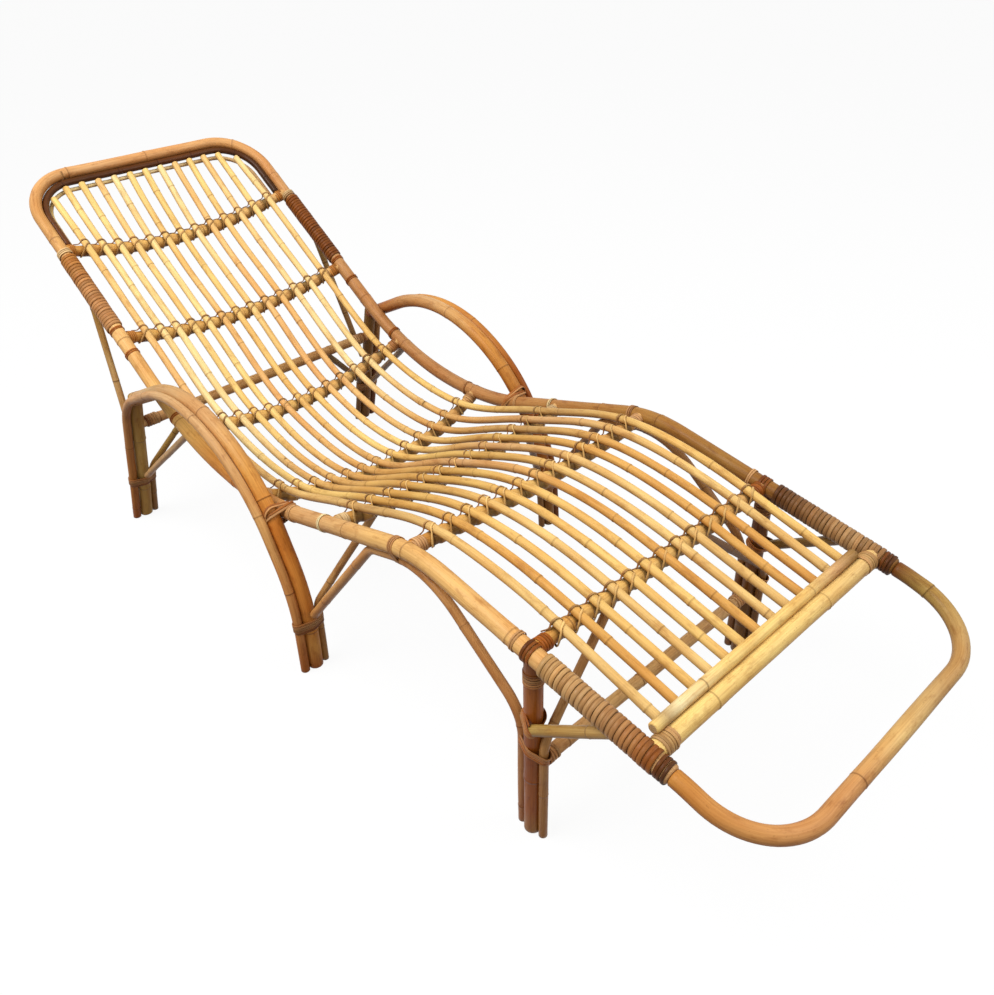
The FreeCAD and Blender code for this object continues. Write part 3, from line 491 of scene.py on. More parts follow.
def strand_part(points, outward, width, thick, tones, seed, corners=8):
    """Strip of split cane along points, lying on its inner side, with both ends closed."""
    tangents = units(np.gradient(points, axis=0))
    outward = units(outward - tangents * np.sum(outward * tangents, axis=1)[:, None])
    sideways = np.cross(tangents, outward)
    angles = (np.arange(corners) + 0.5) * 2 * math.pi / corners
    round_off = np.sign(np.sin(angles)) * np.abs(np.sin(angles)) ** 0.8
    square_off = np.sign(np.cos(angles)) * np.abs(np.cos(angles)) ** 0.7
    run = distances(points)
    swell = 1 + 0.06 * wave(run, 9, seed)
    half_widths = square_off[None, :, None] * width / 2 * swell[:, None, None]
    rings = points[:, None] + sideways[:, None] * half_widths
    rings = rings + outward[:, None] * (round_off[None, :, None] * thick / 2)
    count = len(points)
    grain = np.stack([np.repeat(run[:, None], corners, 1), np.tile(square_off * width / 2, (count, 1)),
                      np.tile(round_off * thick / 2, (count, 1))], 2)
    faces = tube_faces(count, corners)
    faces.append(list(range(corners))[::-1])
    faces.append(list(range((count - 1) * corners, count * corners)))
    # Painted shade along the inner face and edges of the strip, carried in the knot attribute
    edge_shade = np.clip(0.75 - round_off, 0, 1) * 0.55
    return {"vertices": rings.reshape(-1, 3), "faces": faces, "tone": np.repeat(tones, corners, 0),
            "grain": grain.reshape(-1, 3) * MM + at(seed * 2.9, 0, 0), "knot": np.tile(edge_shade, count),
            "pith": np.zeros(count * corners)}


def taut_ring(circles, reach, count=180):
    """Outline drawn tight round circles: points and outward normals, evenly spaced."""
    turns = np.linspace(0, 2 * math.pi, 721)
    normals = np.stack([np.cos(turns), np.sin(turns)], 1)
    centres = np.array([circle[:2] for circle in circles])
    support = normals @ centres.T + np.array([circle[2] for circle in circles])
    chosen = np.array(circles)[support.argmax(1)]
    outline = chosen[:, :2] + normals * (chosen[:, 2:] + reach)
    run = distances(outline)
    places = np.linspace(0, run[-1], count, endpoint=False)
    return between(places, run, outline), units(between(places, run, normals))


STRIP_SHARE = 0.42


def wound_part(base, axis, across, circles, loops, strip, stops, seed, step=6):
    """One strip wound round canes, loop beside loop, with small differences between the loops."""
    width, pitch = strip
    thick = STRIP_SHARE * width
    along = np.cross(axis, across)
    flat, facing = taut_ring(circles, thick / 2 + 0.1)
    flat, facing = flat[::step], facing[::step]
    per_loop = len(flat)
    count = int(loops * per_loop) + 1
    index = np.arange(count)
    turn = index / per_loop
    lift = 0.3 * wave(turn, 1.7, seed) * np.clip(np.minimum(turn, loops - turn) * 4, 0, 1)
    tuck = -thick * (np.clip(0.12 - turn, 0, 1) + np.clip(turn - loops + 0.12, 0, 1)) / 0.12
    climb = turn * pitch + 0.1 * pitch * wave(turn, 0.9, seed + 9)
    plane = across[None] * flat[index % per_loop][:, :1] + along[None] * flat[index % per_loop][:, 1:]
    outward = across[None] * facing[index % per_loop][:, :1] + along[None] * facing[index % per_loop][:, 1:]
    points = base + plane + axis[None] * climb[:, None] + outward * (lift + tuck)[:, None]
    tones = tone_along(stops, turn / loops) * (1 + 0.22 * wave(turn, 0.8, seed + 3))[:, None]
    return strand_part(points, outward, width, thick, np.clip(tones, 0.004, 1), seed)


# Procedural materials


class Nodes:
    """Short helper to add linked shader nodes."""

    def __init__(self, material):
        material.use_nodes = True
        self.tree = material.node_tree
        self.tree.nodes.clear()

    def add(self, kind, inputs=None, **settings):
        """New node with its settings and its inputs set or linked."""
        node = self.tree.nodes.new(kind)
        for key, value in settings.items():
            setattr(node, key, value)
        for key, value in (inputs or {}).items():
            if isinstance(value, bpy.types.NodeSocket):
                self.tree.links.new(value, node.inputs[key])
            else:
                node.inputs[key].default_value = value
        return node

    def attribute(self, name, output):
        """Attribute of the mesh."""
        return self.add("ShaderNodeAttribute", attribute_name=name).outputs[output]

    def scaled(self, vector, scale):
        """Vector with its parts multiplied."""
        return self.add("ShaderNodeVectorMath", {0: vector, 1: scale}, operation="MULTIPLY").outputs[0]

    def noise(self, vector, detail, roughness=0.5):
        """Noise value at a vector."""
        inputs = {"Vector": vector, "Scale": 1.0, "Detail": detail, "Roughness": roughness}
        return self.add("ShaderNodeTexNoise", inputs).outputs[0]

    def ranged(self, value, low, high, out_low, out_high):
        """Value moved from one range to another, kept inside it."""
        inputs = {0: value, 1: low, 2: high, 3: out_low, 4: out_high}
        return self.add("ShaderNodeMapRange", inputs).outputs[0]

    def mixed(self, factor, first, second, blend_type="MIX"):
        """Two colours mixed."""
        inputs = {0: factor, 6: first, 7: second}
        return self.add("ShaderNodeMix", inputs, data_type="RGBA", blend_type=blend_type).outputs[2]

    def value(self, operation, first, second):
        """Two values combined."""
        return self.add("ShaderNodeMath", {0: first, 1: second}, operation=operation).outputs[0]


def rgba(colour):
    """Colour with full alpha."""
    return (float(colour[0]), float(colour[1]), float(colour[2]), 1.0)


def rattan_material(name, streak, stain, speck, gloss, coat, ring=0.85, drift=0.45):
    """Varnished rattan: fibres along the cane, brown stains, specks, dark node rings, painted shade along
    the edges of strips, and porous cut ends.
    """
    material = bpy.data.materials.new(name)
    n = Nodes(material)
    tone = n.attribute("tone", "Color")
    grain = n.attribute("grain", "Vector")
    knot = n.attribute("knot", "Fac")
    pith = n.attribute("pith", "Fac")
    fibre = n.noise(n.scaled(grain, (14, 520, 520)), 3)
    fine = n.noise(n.scaled(grain, (60, 1500, 1500)), 2)
    slow = n.noise(n.scaled(grain, (9, 28, 28)), 3)
    patch = n.noise(n.scaled(grain, (34, 90, 90)), 5, 0.62)
    dots = n.noise(n.scaled(grain, (330, 420, 420)), 2)
    # Slow drift to warm and to light, fibres, stains, specks, and node rings, which also carry painted shade
    # along the edges of strips
    layers = (
        (n.ranged(slow, 0.42, 0.64, 0.0, drift), (0.86, 0.62, 0.36, 1)),
        (n.ranged(slow, 0.30, 0.45, drift, 0.0), (1.18, 1.2, 1.12, 1)),
        (n.ranged(fibre, 0.40, 0.66, 0.0, streak), (0.60, 0.46, 0.32, 1)),
        (n.ranged(patch, 0.53, 0.68, 0.0, stain), (0.50, 0.33, 0.20, 1)),
        (n.ranged(dots, 0.66, 0.76, 0.0, speck), (0.30, 0.20, 0.13, 1)),
        (n.value("MULTIPLY", knot, ring), (0.20, 0.12, 0.075, 1)),
    )
    colour = tone
    for share, tint in layers:
        colour = n.mixed(share, colour, tint, "MULTIPLY")
    pores = n.noise(n.scaled(grain, (0, 2200, 2200)), 1)
    cut = n.mixed(n.ranged(pores, 0.45, 0.62, 0.0, 1.0), rgba(PITH), rgba(PORE))
    colour = n.mixed(pith, colour, cut)
    rough = n.ranged(n.noise(n.scaled(grain, (40, 160, 160)), 3), 0.3, 0.7, gloss, gloss + 0.2)
    relief = n.value("ADD", fibre, fine)
    bump = n.add("ShaderNodeBump", {"Strength": 0.35, "Distance": 0.0006, "Height": relief}).outputs[0]
    shader = n.add("ShaderNodeBsdfPrincipled", {"Base Color": colour, "Roughness": rough, "Normal": bump,
                                                "Coat Weight": coat, "Coat Roughness": 0.22,
                                                "Specular IOR Level": 0.12})
    n.add("ShaderNodeOutputMaterial", {0: shader.outputs[0]})
    return material


pole = rattan_material("rattan_pole", 0.42, 0.5, 0.45, 0.38, 0.05, ring=0.75)
thin_cane = rattan_material("rattan_slat", 0.32, 0.42, 0.4, 0.42, 0.03, ring=0.5, drift=0.4)
dark_cane = rattan_material("rattan_dark", 0.5, 0.5, 0.4, 0.28, 0.08)
binding = rattan_material("split_cane", 0.55, 0.4, 0.3, 0.36, 0.05, ring=0.9)

# Long rails, foot loop and crossbars


def cane(name, line, dia, stops, seed, material=pole, slot="frame_pole", **looks):
    """One cane as a piece that stands for the CAD node of the same name."""
    make_object(name + "_cane", [cane_part(line, dia, stops, seed, **looks)], material, [name])


slat_xs = [(number - (SLAT_COUNT - 1) / 2) * SLAT_SPACING for number in range(SLAT_COUNT)]
rail_points = [at_x(point, -HALF_WIDTH) for point in (splice, knee, valley, head)]
rail_points += [at_x(point, HALF_WIDTH) for point in (head, valley, knee, splice)]
rail_bends = [KNEE_RADIUS, VALLEY_RADIUS, HEAD_CORNER]
HEAD_SHARE = 0.86
HEAD_TAPER = ((0, 1), (0.375, 1), (0.4, HEAD_SHARE), (0.6, HEAD_SHARE), (0.625, 1), (1, 1))
rail_tones = [(0, TAN), (0.06, PEACH, GOLD, 0.6), (0.13, GOLD, TAN, 0.4), (0.18, TAN),
              (0.205, TAN, AMBER, 0.4), (0.225, ORANGE), (0.26, AMBER), (0.28, GOLD),
              (0.35, GOLD, PEACH, 0.5), (0.42, TAN, AMBER, 0.5), (0.48, PEACH, TAN, 0.4),
              (0.56, PEACH, AMBER, 0.4), (0.62, TAN, RUST, 0.4), (0.7, TAN, RUST, 0.4),
              (0.78, TAN, RUST, 0.5), (0.88, OLIVE, RUST, 0.5), (1, OLIVE, UMBER, 0.7)]
rail_line = bent_line(rail_points, rail_bends + rail_bends[::-1])
cane("main_rail", rail_line, RAIL_DIA, rail_tones, 1, spacing=190, taper=HEAD_TAPER)

loop_start = splice - leg_line * FIT
loop_turn = loop_start - leg_line * LOOP_LEAD
loop_end = foot - at(0, 0, LOOP_DROOP)
loop_points = [at_x(point, -HALF_WIDTH) for point in (loop_start, loop_turn, loop_end)]
loop_points += [at_x(point, HALF_WIDTH) for point in (loop_end, loop_turn, loop_start)]
loop_bends = [LOOP_BEND, FOOT_CORNER]
loop_tones = [(0, AMBER, RUST, 0.3), (0.2, TAN, ORANGE, 0.45), (0.34, TAN, ORANGE, 0.4),
              (0.5, TAN, STRAW, 0.5), (0.64, TAN, OLIVE, 0.4), (0.8, OLIVE, TAN, 0.5), (0.93, OLIVE),
              (1, UMBER)]
loop_line = bent_line(loop_points, loop_bends + loop_bends[::-1])
cane("foot_loop", loop_line, LOOP_DIA, loop_tones, 2, spacing=330)

BEAD = 2.2
BAR_TONES = [(0, AMBER), (0.15, GOLD), (0.5, GOLD, STRAW, 0.4), (1, GOLD, TAN, 0.6)]
for seed, name in enumerate(BARS, start=3):
    end_angle = bar_angle(name, HALF_WIDTH)
    bow_line = np.array([bar_frame(name, angle)[0] for angle in np.linspace(-end_angle, end_angle, 60)])
    rests = np.array([(bar_angle(name, x) + end_angle) * bow_radius(name) for x in slat_xs])
    cane(name + "_crossbar", bow_line, BAR_DIA, BAR_TONES, seed, spacing=150, rests=rests, bead=BEAD)
end_line = np.array([at_x(end_bar_centre, -HALF_WIDTH), at_x(end_bar_centre, HALF_WIDTH)])
end_tones = [(0, STRAW), (0.6, STRAW), (1, STRAW, TAN, 0.6)]
cane("end_bar", end_line, END_BAR_DIA, end_tones, 11, spacing=260)

# Two canes inside the head bend
inner_radius, top_cane_radius = INNER_DIA / 2, TOP_CANE_DIA / 2


def nested(distance, rise):
    """Distance in the plane of the back for canes at different heights."""
    return math.sqrt(distance * distance - rise * rise)


inner_inset = nested(rail_radius * HEAD_SHARE + inner_radius, INNER_RISE)
top_cane_inset = inner_inset + TOP_CANE_GAP


def head_hoop_line(inset, rise):
    """Line that follows the head bend at an inset, down to the head crossbar."""
    lift = upward(back_line) * rise
    low = on_profile(BARS["head"][0]) + back_line * (bar_radius + FIT) + lift
    high = head - back_line * inset + lift
    x = HALF_WIDTH - inset
    points = [at_x(low, -x), at_x(high, -x), at_x(high, x), at_x(low, x)]
    return bent_line(points, [HEAD_CORNER - inset] * 2)


inner_tones = [(0, UMBER, SOOT, 0.3), (0.3, UMBER, SOOT, 0.7), (0.6, UMBER, SOOT, 0.4), (1, SOOT)]
cane("inner_head_cane", head_hoop_line(inner_inset, INNER_RISE), INNER_DIA, inner_tones, 12, dark_cane,
     "brace_cane", spacing=120)
cane("slat_top_cane", head_hoop_line(top_cane_inset, TOP_CANE_RISE), TOP_CANE_DIA,
     [(0, STRAW), (0.5, CREAM), (1, TAN)], 13, thin_cane, "slat_cane", spacing=160)

# Slats, which lie on the bowed crossbars
slat_radius = SLAT_DIA / 2
slat_on_bar = bar_radius + slat_radius + FIT
slat_on_top_cane = slat_radius + top_cane_radius + 3 * FIT
slat_foot = end_bar_centre + upward(leg_line) * SLAT_FOOT_RISE


def head_drop(x, inset):
    """Distance in the plane of the back from the head to a hoop's line at a place across."""
    past_corner = max(0.0, abs(x) - (HALF_WIDTH - HEAD_CORNER))
    return HEAD_CORNER - nested(HEAD_CORNER - inset, past_corner)


def through(before, place, after):
    """Heading at a place of the arc through three points."""
    arrive, leave = place - before, after - place
    return unit(unit(arrive) * np.linalg.norm(leave) + unit(leave) * np.linalg.norm(arrive))


def slat_rests(x):
    """Where a slat lies on the crossbars: place on the bar, and the directions along, ahead and up."""
    frames = [bar_frame(name, bar_angle(name, x, slat_on_bar)) for name in reversed(BARS)]
    line = [at_x(slat_foot, x)]
    line += [at_x(place + rise * slat_on_bar, x) for place, _, rise in frames]
    top = at_x(head - back_line * head_drop(x, top_cane_inset), x)
    line.append(top + upward(back_line) * (TOP_CANE_RISE + slat_on_top_cane))
    headings = [through(*line[index:index + 3]) for index in range(len(frames))]
    headings[0] = unit(line[1] - line[0])
    rests = []
    for (place, across, rise), heading in zip(frames, headings):
        rests.append((place, across, heading, unit(rise - heading * (rise @ heading))))
    return rests, top


def eased(start, start_heading, end, end_heading):
    """Smooth line from one place and heading to another."""
    reach = np.linalg.norm(end - start)
    t = np.linspace(0, 1, 24)[1:, None]
    return ((2 * t ** 3 - 3 * t ** 2 + 1) * start + (t ** 3 - 2 * t ** 2 + t) * start_heading * reach
            + (3 * t ** 2 - 2 * t ** 3) * end + (t ** 3 - t ** 2) * end_heading * reach)


def slat_line(x):
    """Line of a slat from its foot over the crossbars to the head."""
    rests, top = slat_rests(x)
    stops = [(at_x(place + rise * slat_on_bar, x), heading) for place, _, heading, rise in rests]
    line = [at_x(slat_foot, x)[None], stops[0][0][None]]
    for (start, start_heading), (end, end_heading) in zip(stops, stops[1:]):
        line.append(eased(start, start_heading, end, end_heading))
    start, heading = stops[-1]
    end = top + upward(back_line) * (TOP_CANE_RISE + slat_on_top_cane)
    chord = unit(end - start)
    top_heading = chord * (2 * (heading @ chord)) - heading
    line.append(eased(start, heading, end, top_heading))
    lip = slat_radius * (top_heading @ upward(back_line))
    butt = head_drop(abs(x) + slat_radius, inner_inset + inner_radius + FIT) + lip
    line.append((end + top_heading * (head_drop(x, top_cane_inset) - butt))[None])
    return np.vstack(line)


def slat_tones(chance):
    """Colours along one slat, each slat a little different."""
    leg = chance.choice((GOLD, blend(STRAW, GOLD, 0.5), blend(GOLD, AMBER, 0.5), blend(STRAW, TAN, 0.4)))
    thigh = chance.choice((TAN, blend(TAN, OLIVE, 0.5), blend(GOLD, OLIVE, 0.4)))
    seat = chance.choice((STRAW, blend(STRAW, TAN, 0.4), blend(GOLD, TAN, 0.4)))
    back = chance.choice((STRAW, blend(STRAW, CREAM, 0.5), blend(GOLD, PEACH, 0.5), blend(STRAW, GOLD, 0.6)))
    top = chance.choice((STRAW, blend(STRAW, CREAM, 0.5), blend(STRAW, PEACH, 0.4)))
    return [(0, leg), (0.2, leg, GOLD, 0.2), (0.34, thigh), (0.44, thigh, seat, 0.6), (0.52, seat),
            (0.66, back), (0.85, back, top, 0.5), (1, top)]


for number, x in enumerate(slat_xs, start=1):
    cane("slat_%02d" % number, slat_line(x), SLAT_DIA, slat_tones(random.Random(number * 17)), 20 + number,
         thin_cane, "slat_cane", spacing=170, sides=14, wobble=1.1, ridge=0.07)

cap_radius = CAP_DIA / 2
slat_end_line = slat_rests(slat_xs[-1])[0][0][2]
cap_gap = end_bar_radius + cap_radius + FIT
cap_rise = SLAT_FOOT_RISE + slat_radius + cap_radius + FIT
cap_centre = slat_foot + slat_end_line * nested(cap_gap, cap_rise)
cap_centre = cap_centre + upward(slat_end_line) * (slat_radius + cap_radius + FIT)
cap_line = np.array([at_x(cap_centre, -CAP_LENGTH / 2 - CAP_NEAR_REACH), at_x(cap_centre, CAP_LENGTH / 2)])
cap_tones = [(0, STRAW), (0.05, OLIVE, ASH, 0.6), (0.11, CREAM), (0.3, STRAW), (0.7, STRAW), (0.88, TAN),
             (1, OLIVE, UMBER, 0.5)]
cane("slat_end_cap", cap_line, CAP_DIA, cap_tones, 40, spacing=210)

# Arms, posts and stretchers


def arm_line(side, out):
    """Points of the arm from the floor over the upper bend."""
    bends = ((arm_foot_y, 0), (lower_bend_y, ARM_BENDS[0]), (upper_bend_y, ARM_BENDS[1]))
    return [in_arm(side, y, z, out) for y, z in bends]


for side_name, side in SIDES:
    near = side < 0
    seed = 50 if near else 70
    grounded = (True, False)
    arm_tones = [(0, RUST), (0.06, AMBER), (0.15, AMBER, ORANGE, 0.6), (0.33, ORANGE), (0.45, AMBER),
                 (0.62, TAN), (0.85, ASH, OLIVE, 0.3), (1, TAN)]
    hoop_tones = [(0, RUST), (0.1, ORANGE, TAN, 0.4), (0.25, AMBER, TAN, 0.5), (0.4, TAN),
                  (0.55, ASH, TAN, 0.5), (0.66, TAN), (0.74, RUST, TAN, 0.6), (0.9, RUST, AMBER, 0.5),
                  (1, RUST)]
    post_tones = [(0, OLIVE, GOLD, 0.4), (0.5, OLIVE, STRAW, 0.4), (1, OLIVE)]
    front_tones = [(0, RUST, OLIVE, 0.5), (0.15, RUST), (0.5, UMBER, RUST, 0.7),
                   (0.75, RUST, ORANGE, 0.4), (1, UMBER)]
    # Painted shade: the far side's arm, hoop and posts take darker tones than the near side's
    if not near:
        arm_tones = [(0, OLIVE, UMBER, 0.6), (0.3, RUST), (0.5, AMBER), (0.7, TAN), (1, RUST)]
        hoop_tones = [(0, UMBER), (0.3, RUST), (0.5, AMBER), (0.75, TAN), (0.85, UMBER), (1, UMBER)]
        post_tones = [(0, OLIVE, UMBER, 0.7), (1, OLIVE, UMBER, 0.5)]
        front_tones = [(0, OLIVE, UMBER, 0.7), (1, UMBER)]
    post_line = np.array([in_arm(side, post_y(z), z) for z in (0, post_top_z)])
    cane("rear_post_" + side_name, post_line, POST_DIA, post_tones, seed, spacing=170, feet=grounded)
    pole_line = bent_line(arm_line(side, 0) + [in_arm(side, joint_y, joint_z)], ARM_RADII)
    cane("arm_pole_" + side_name, pole_line, ARM_DIA, arm_tones, seed + 1, spacing=260, feet=grounded)
    rear = [in_arm(side, joint_y, joint_z, hoop_out), in_arm(side, post_y(0), 0, hoop_out)]
    hoop_line = bent_line(arm_line(side, hoop_out) + rear, ARM_RADII + (HOOP_REAR_RADIUS,))
    cane("arm_hoop_" + side_name, hoop_line, HOOP_DIA, hoop_tones, seed + 2, spacing=200, feet=(True, True))
    front_line = np.array([on_front(side, z) for z in (0, front_top)])
    cane("front_post_" + side_name, front_line, FRONT_POST_DIA, front_tones, seed + 3, dark_cane,
         spacing=200, feet=grounded)

front_ends = [on_front(side, FRONT_STRETCHER_HEIGHT) for _, side in SIDES]
rear_ends = [in_arm(side, post_y(REAR_STRETCHER_HEIGHT), REAR_STRETCHER_HEIGHT) for _, side in SIDES]
stretcher_tones = [(0, TAN), (0.5, TAN, GOLD, 0.4), (1, TAN)]
cane("front_stretcher", np.array(front_ends), STRETCHER_DIA, stretcher_tones, 90, spacing=230)
cane("rear_stretcher", np.array(rear_ends), STRETCHER_DIA, stretcher_tones, 91, spacing=230)

# Thin braces


def behind_post(side, z, distance):
    """Point that stands off the rear post."""
    return in_arm(side, post_y(z) + distance / math.cos(math.radians(POST_LEAN)), z)


def back_strut(side):
    """Strut from the bound part of the back rail to the back of the rear post."""
    return [behind_post(side, BACK_STRUT_HEIGHT, -brace_in),
            off_rail(side * HALF_WIDTH, valley_y + BACK_STRUT_FROM_VALLEY, 0)], []


def arm_strut(side):
    """Strut from the front of the rear post up to the rail under the arm."""
    return [behind_post(side, ARM_STRUT_HEIGHT, brace_in),
            off_rail(side * HALF_WIDTH, valley_y + ARM_STRUT_FROM_VALLEY, 0)], []


def knee_brace(side):
    """Cane from the arm's leg, along the underside of the rail at the knee and down the front post."""
    low_y = arm_foot_y + slope_run(KNEE_BRACE_FOOT, ARM_SLOPES[0]) + brace_in
    low = in_arm(side, low_y, KNEE_BRACE_FOOT)
    below = at_x(knee + upward(seat_line) * under_rail, side * HALF_WIDTH)
    behind, turn = below + seat_line * KNEE_BRACE_BEHIND, below + seat_line * KNEE_BRACE_TURN
    leg, floor = [on_front(side, z, post_to_brace) for z in (KNEE_BRACE_LEG, 0)]
    rail_turn = math.acos(seat_line @ leg_line)
    bend_start = KNEE_RADIUS * math.tan(rail_turn / 2)
    turn_angle = math.acos(unit(turn - behind) @ unit(leg - turn))
    radius = (bend_start - KNEE_BRACE_TURN) / math.tan(turn_angle / 2)
    return [low, behind, turn, leg, floor], [BRACE_BEND, radius, 2 * BRACE_BEND]


def foot_brace(side):
    """Brace from the outer foot side of the front post to the bound rail near the foot."""
    turn = math.radians(FOOT_BRACE_TURN)
    low_x = side * (HALF_WIDTH + post_to_brace * math.cos(turn))
    low = at(low_x, front_y - post_to_brace * math.sin(turn), FOOT_BRACE_HEIGHT)
    return [low, off_rail(side * HALF_WIDTH, front_y - FOOT_BRACE_FROM_POST, 0)], []


def mid_corner_brace(side):
    """Cane up the inner side of the arm's leg, then across to the thigh crossbar."""
    low = in_arm(side, arm_foot_y, 0, brace_in)
    turn_y = arm_foot_y + slope_run(MID_CORNER_HEIGHT, ARM_SLOPES[0])
    turn = in_arm(side, turn_y, MID_CORNER_HEIGHT, brace_in)
    return [low, turn, bar_point("thigh", side * MID_CORNER_REACH)], [BRACE_BEND]


def front_corner_brace(side):
    """Cane up the foot side of the front post, then across to the calf crossbar."""
    low = on_front(side, 0, -post_to_brace)
    turn = low + at(0, 0, FRONT_CORNER_HEIGHT)
    return [low, turn, bar_point("calf", side * FRONT_CORNER_REACH)], [BRACE_BEND]


def rear_corner_brace(side):
    """Cane up the inner side of the rear post, then across to the rear stretcher."""
    low = in_arm(side, post_y(0), 0, brace_in)
    turn = in_arm(side, post_y(REAR_CORNER_HEIGHT), REAR_CORNER_HEIGHT, brace_in)
    end = at(side * REAR_CORNER_REACH, post_y(REAR_STRETCHER_HEIGHT), REAR_STRETCHER_HEIGHT)
    return [low, turn, end], [BRACE_BEND]


BRACES = (
    (back_strut, BRACE_DIA, (TAN, OLIVE), (False, False)),
    (arm_strut, BRACE_DIA, (TAN, ASH), (False, False)),
    (knee_brace, KNEE_BRACE_DIA, (blend(TAN, AMBER, 0.5), blend(RUST, TAN, 0.3)), (False, True)),
    (foot_brace, FOOT_BRACE_DIA, (OLIVE, blend(OLIVE, TAN, 0.5)), (False, False)),
    (mid_corner_brace, BRACE_DIA, (blend(OLIVE, RUST, 0.5), TAN), (True, False)),
    (front_corner_brace, BRACE_DIA, (blend(RUST, OLIVE, 0.4), TAN), (True, False)),
    (rear_corner_brace, BRACE_DIA, (blend(OLIVE, RUST, 0.4), OLIVE), (True, False)),
)
for side_name, side in SIDES:
    for number, (shape, dia, (first, last), feet) in enumerate(BRACES):
        points, bends = shape(side)
        name = "%s_%s" % (shape.__name__, side_name)
        # Painted shade: braces on the far side are blended towards SOOT
        shade = 0.0 if side < 0 else 0.45
        stops = [(0, first, SOOT, shade), (0.5, blend(blend(first, last, 0.4), SOOT, shade)),
                 (1, last, SOOT, shade)]
        cane(name, bent_line(points, bends), dia, stops, 100 + number + 10 * side, dark_cane, "brace_cane",
             spacing=140, sides=14, feet=feet)

# Bindings of split cane


def bound(name, parts):
    """Group of like bindings as one piece that stands for its CAD node."""
    make_object(name + "_strips", parts, binding, [name])


def wraps_between(low, high, radius, stops, seed):
    """Close wraps along a straight stretch of cane."""
    loops = np.linalg.norm(high - low) / LONG_WRAP[1]
    return wound_part(low, unit(high - low), ACROSS, [(0, 0, radius)], loops, LONG_WRAP, stops, seed)


beside_bar = bar_radius + LASH_WIDTH + 2 * FIT + MARGIN
lash_length = 3 * LASH_PITCH
for side_name, side in SIDES:
    x = side * HALF_WIDTH
    back_tones = [(0, TAN, RUST, 0.4), (0.5, TAN, RUST, 0.5), (1, AMBER, RUST, 0.5)]
    foot_tones = [(0, RUST, UMBER, 0.3), (0.25, KHAKI, RUST, 0.45), (0.6, KHAKI), (1, TAN, OLIVE, 0.3)]
    # Painted shade: the far side's rail bindings take darker tones
    if side > 0:
        back_tones = [(0, UMBER), (1, UMBER, RUST, 0.4)]
        foot_tones = [(0, KHAKI, UMBER, 0.5), (0.3, KHAKI), (0.6, KHAKI, UMBER, 0.5),
                      (1, UMBER, SOOT, 0.6)]
    low = along_rail(x, BARS["back"][0], bar_radius + lash_length)
    high = along_rail(x, BARS["head"][0], -(bar_radius + lash_length))
    bound("back_rail_binding_" + side_name, [wraps_between(low, high, rail_radius, back_tones, 200 + side)])
    low = along_rail(x, end_bar_y, -end_bar_radius)
    high = along_rail(x, front_y, -(front_radius + MARGIN))
    parts = [wraps_between(low, high, rail_radius, foot_tones, 204 + side)]
    base = along_rail(x, end_bar_y, WRAP_WIDTH / 2 - beside_end_bar - splice_length)
    parts.append(wound_part(base, leg_line, ACROSS, [(0, 0, rail_radius)], 3, WRAP, [(0, SOOT), (1, UMBER)],
                            208 + side))
    bound("foot_rail_binding_" + side_name, parts)


def end_wraps(centre, inner_x, radius, loops, strip, stops, seed):
    """Wraps round both ends of a straight bar."""
    parts = []
    for _, side in SIDES:
        base = at_x(centre, side * (inner_x - strip[0] / 2 - FIT))
        parts.append(wound_part(base, at(-side, 0, 0), at(0, 1, 0), [(0, 0, radius)], loops, strip, stops,
                                seed + side))
    return parts


rail_inner = HALF_WIDTH - rail_radius - FIT
BAR_WRAPS = {
    "head": (3, blend(AMBER, RUST, 0.4)),
    "back": (4, blend(AMBER, RUST, 0.4)),
    "lumbar": (4, blend(RUST, TAN, 0.4)),
    "seat": (4, TAN),
    "thigh": (4.5, blend(CREAM, TAN, 0.5)),
    "knee": (4.5, blend(PEACH, TAN, 0.6)),
    "calf": (4.5, RUST),
}
bound("end_bar_bindings", end_wraps(end_bar_centre, rail_inner, end_bar_radius, 5.5, BAR_WRAP,
                                    [(0, KHAKI), (0.5, TAN, OLIVE, 0.4), (1, TAN)], 220))
parts = []
for number, (name, (loops, tone)) in enumerate(BAR_WRAPS.items()):
    wrap_length = loops * BAR_WRAP_PITCH
    for _, side in SIDES:
        from_rail = rail_radius - BAR_WRAP_WIDTH / 2 + wrap_length / 2
        angle = bar_angle(name, HALF_WIDTH) - from_rail / bow_radius(name)
        place, across, rise = bar_frame(name, side * angle)
        axis = across * -side
        # Painted shade: each wrap is darker at its rail end, and more so on the far side
        shade = blend(tone, UMBER, 0.5 if side > 0 else 0.15)
        parts.append(wound_part(place - axis * (wrap_length / 2), axis, rise, [(0, 0, bar_radius)], loops,
                                BAR_WRAP, [(0, shade), (1, tone)], 230 + 2 * number + side))
bound("bar_end_bindings", parts)
parts = end_wraps(front_ends[0], HALF_WIDTH - front_radius - FIT, stretcher_radius, 5, WRAP,
                  [(0, RUST), (1, TAN)], 250)
parts += end_wraps(rear_ends[0], abs(rear_ends[0][0]) - post_radius - FIT, stretcher_radius, 5, WRAP,
                   [(0, UMBER), (1, TAN)], 254)
bound("stretcher_bindings", parts)


def rail_lash(x, y, distance, loops, circles, seed, stops):
    """Short lashing round the rail at a distance from a crossing."""
    place = along_rail(x, y, distance)[1]
    centre, heading = rail_at(place)
    return wound_part(at_x(centre, x), heading, ACROSS, circles, loops, LASH, stops, seed)


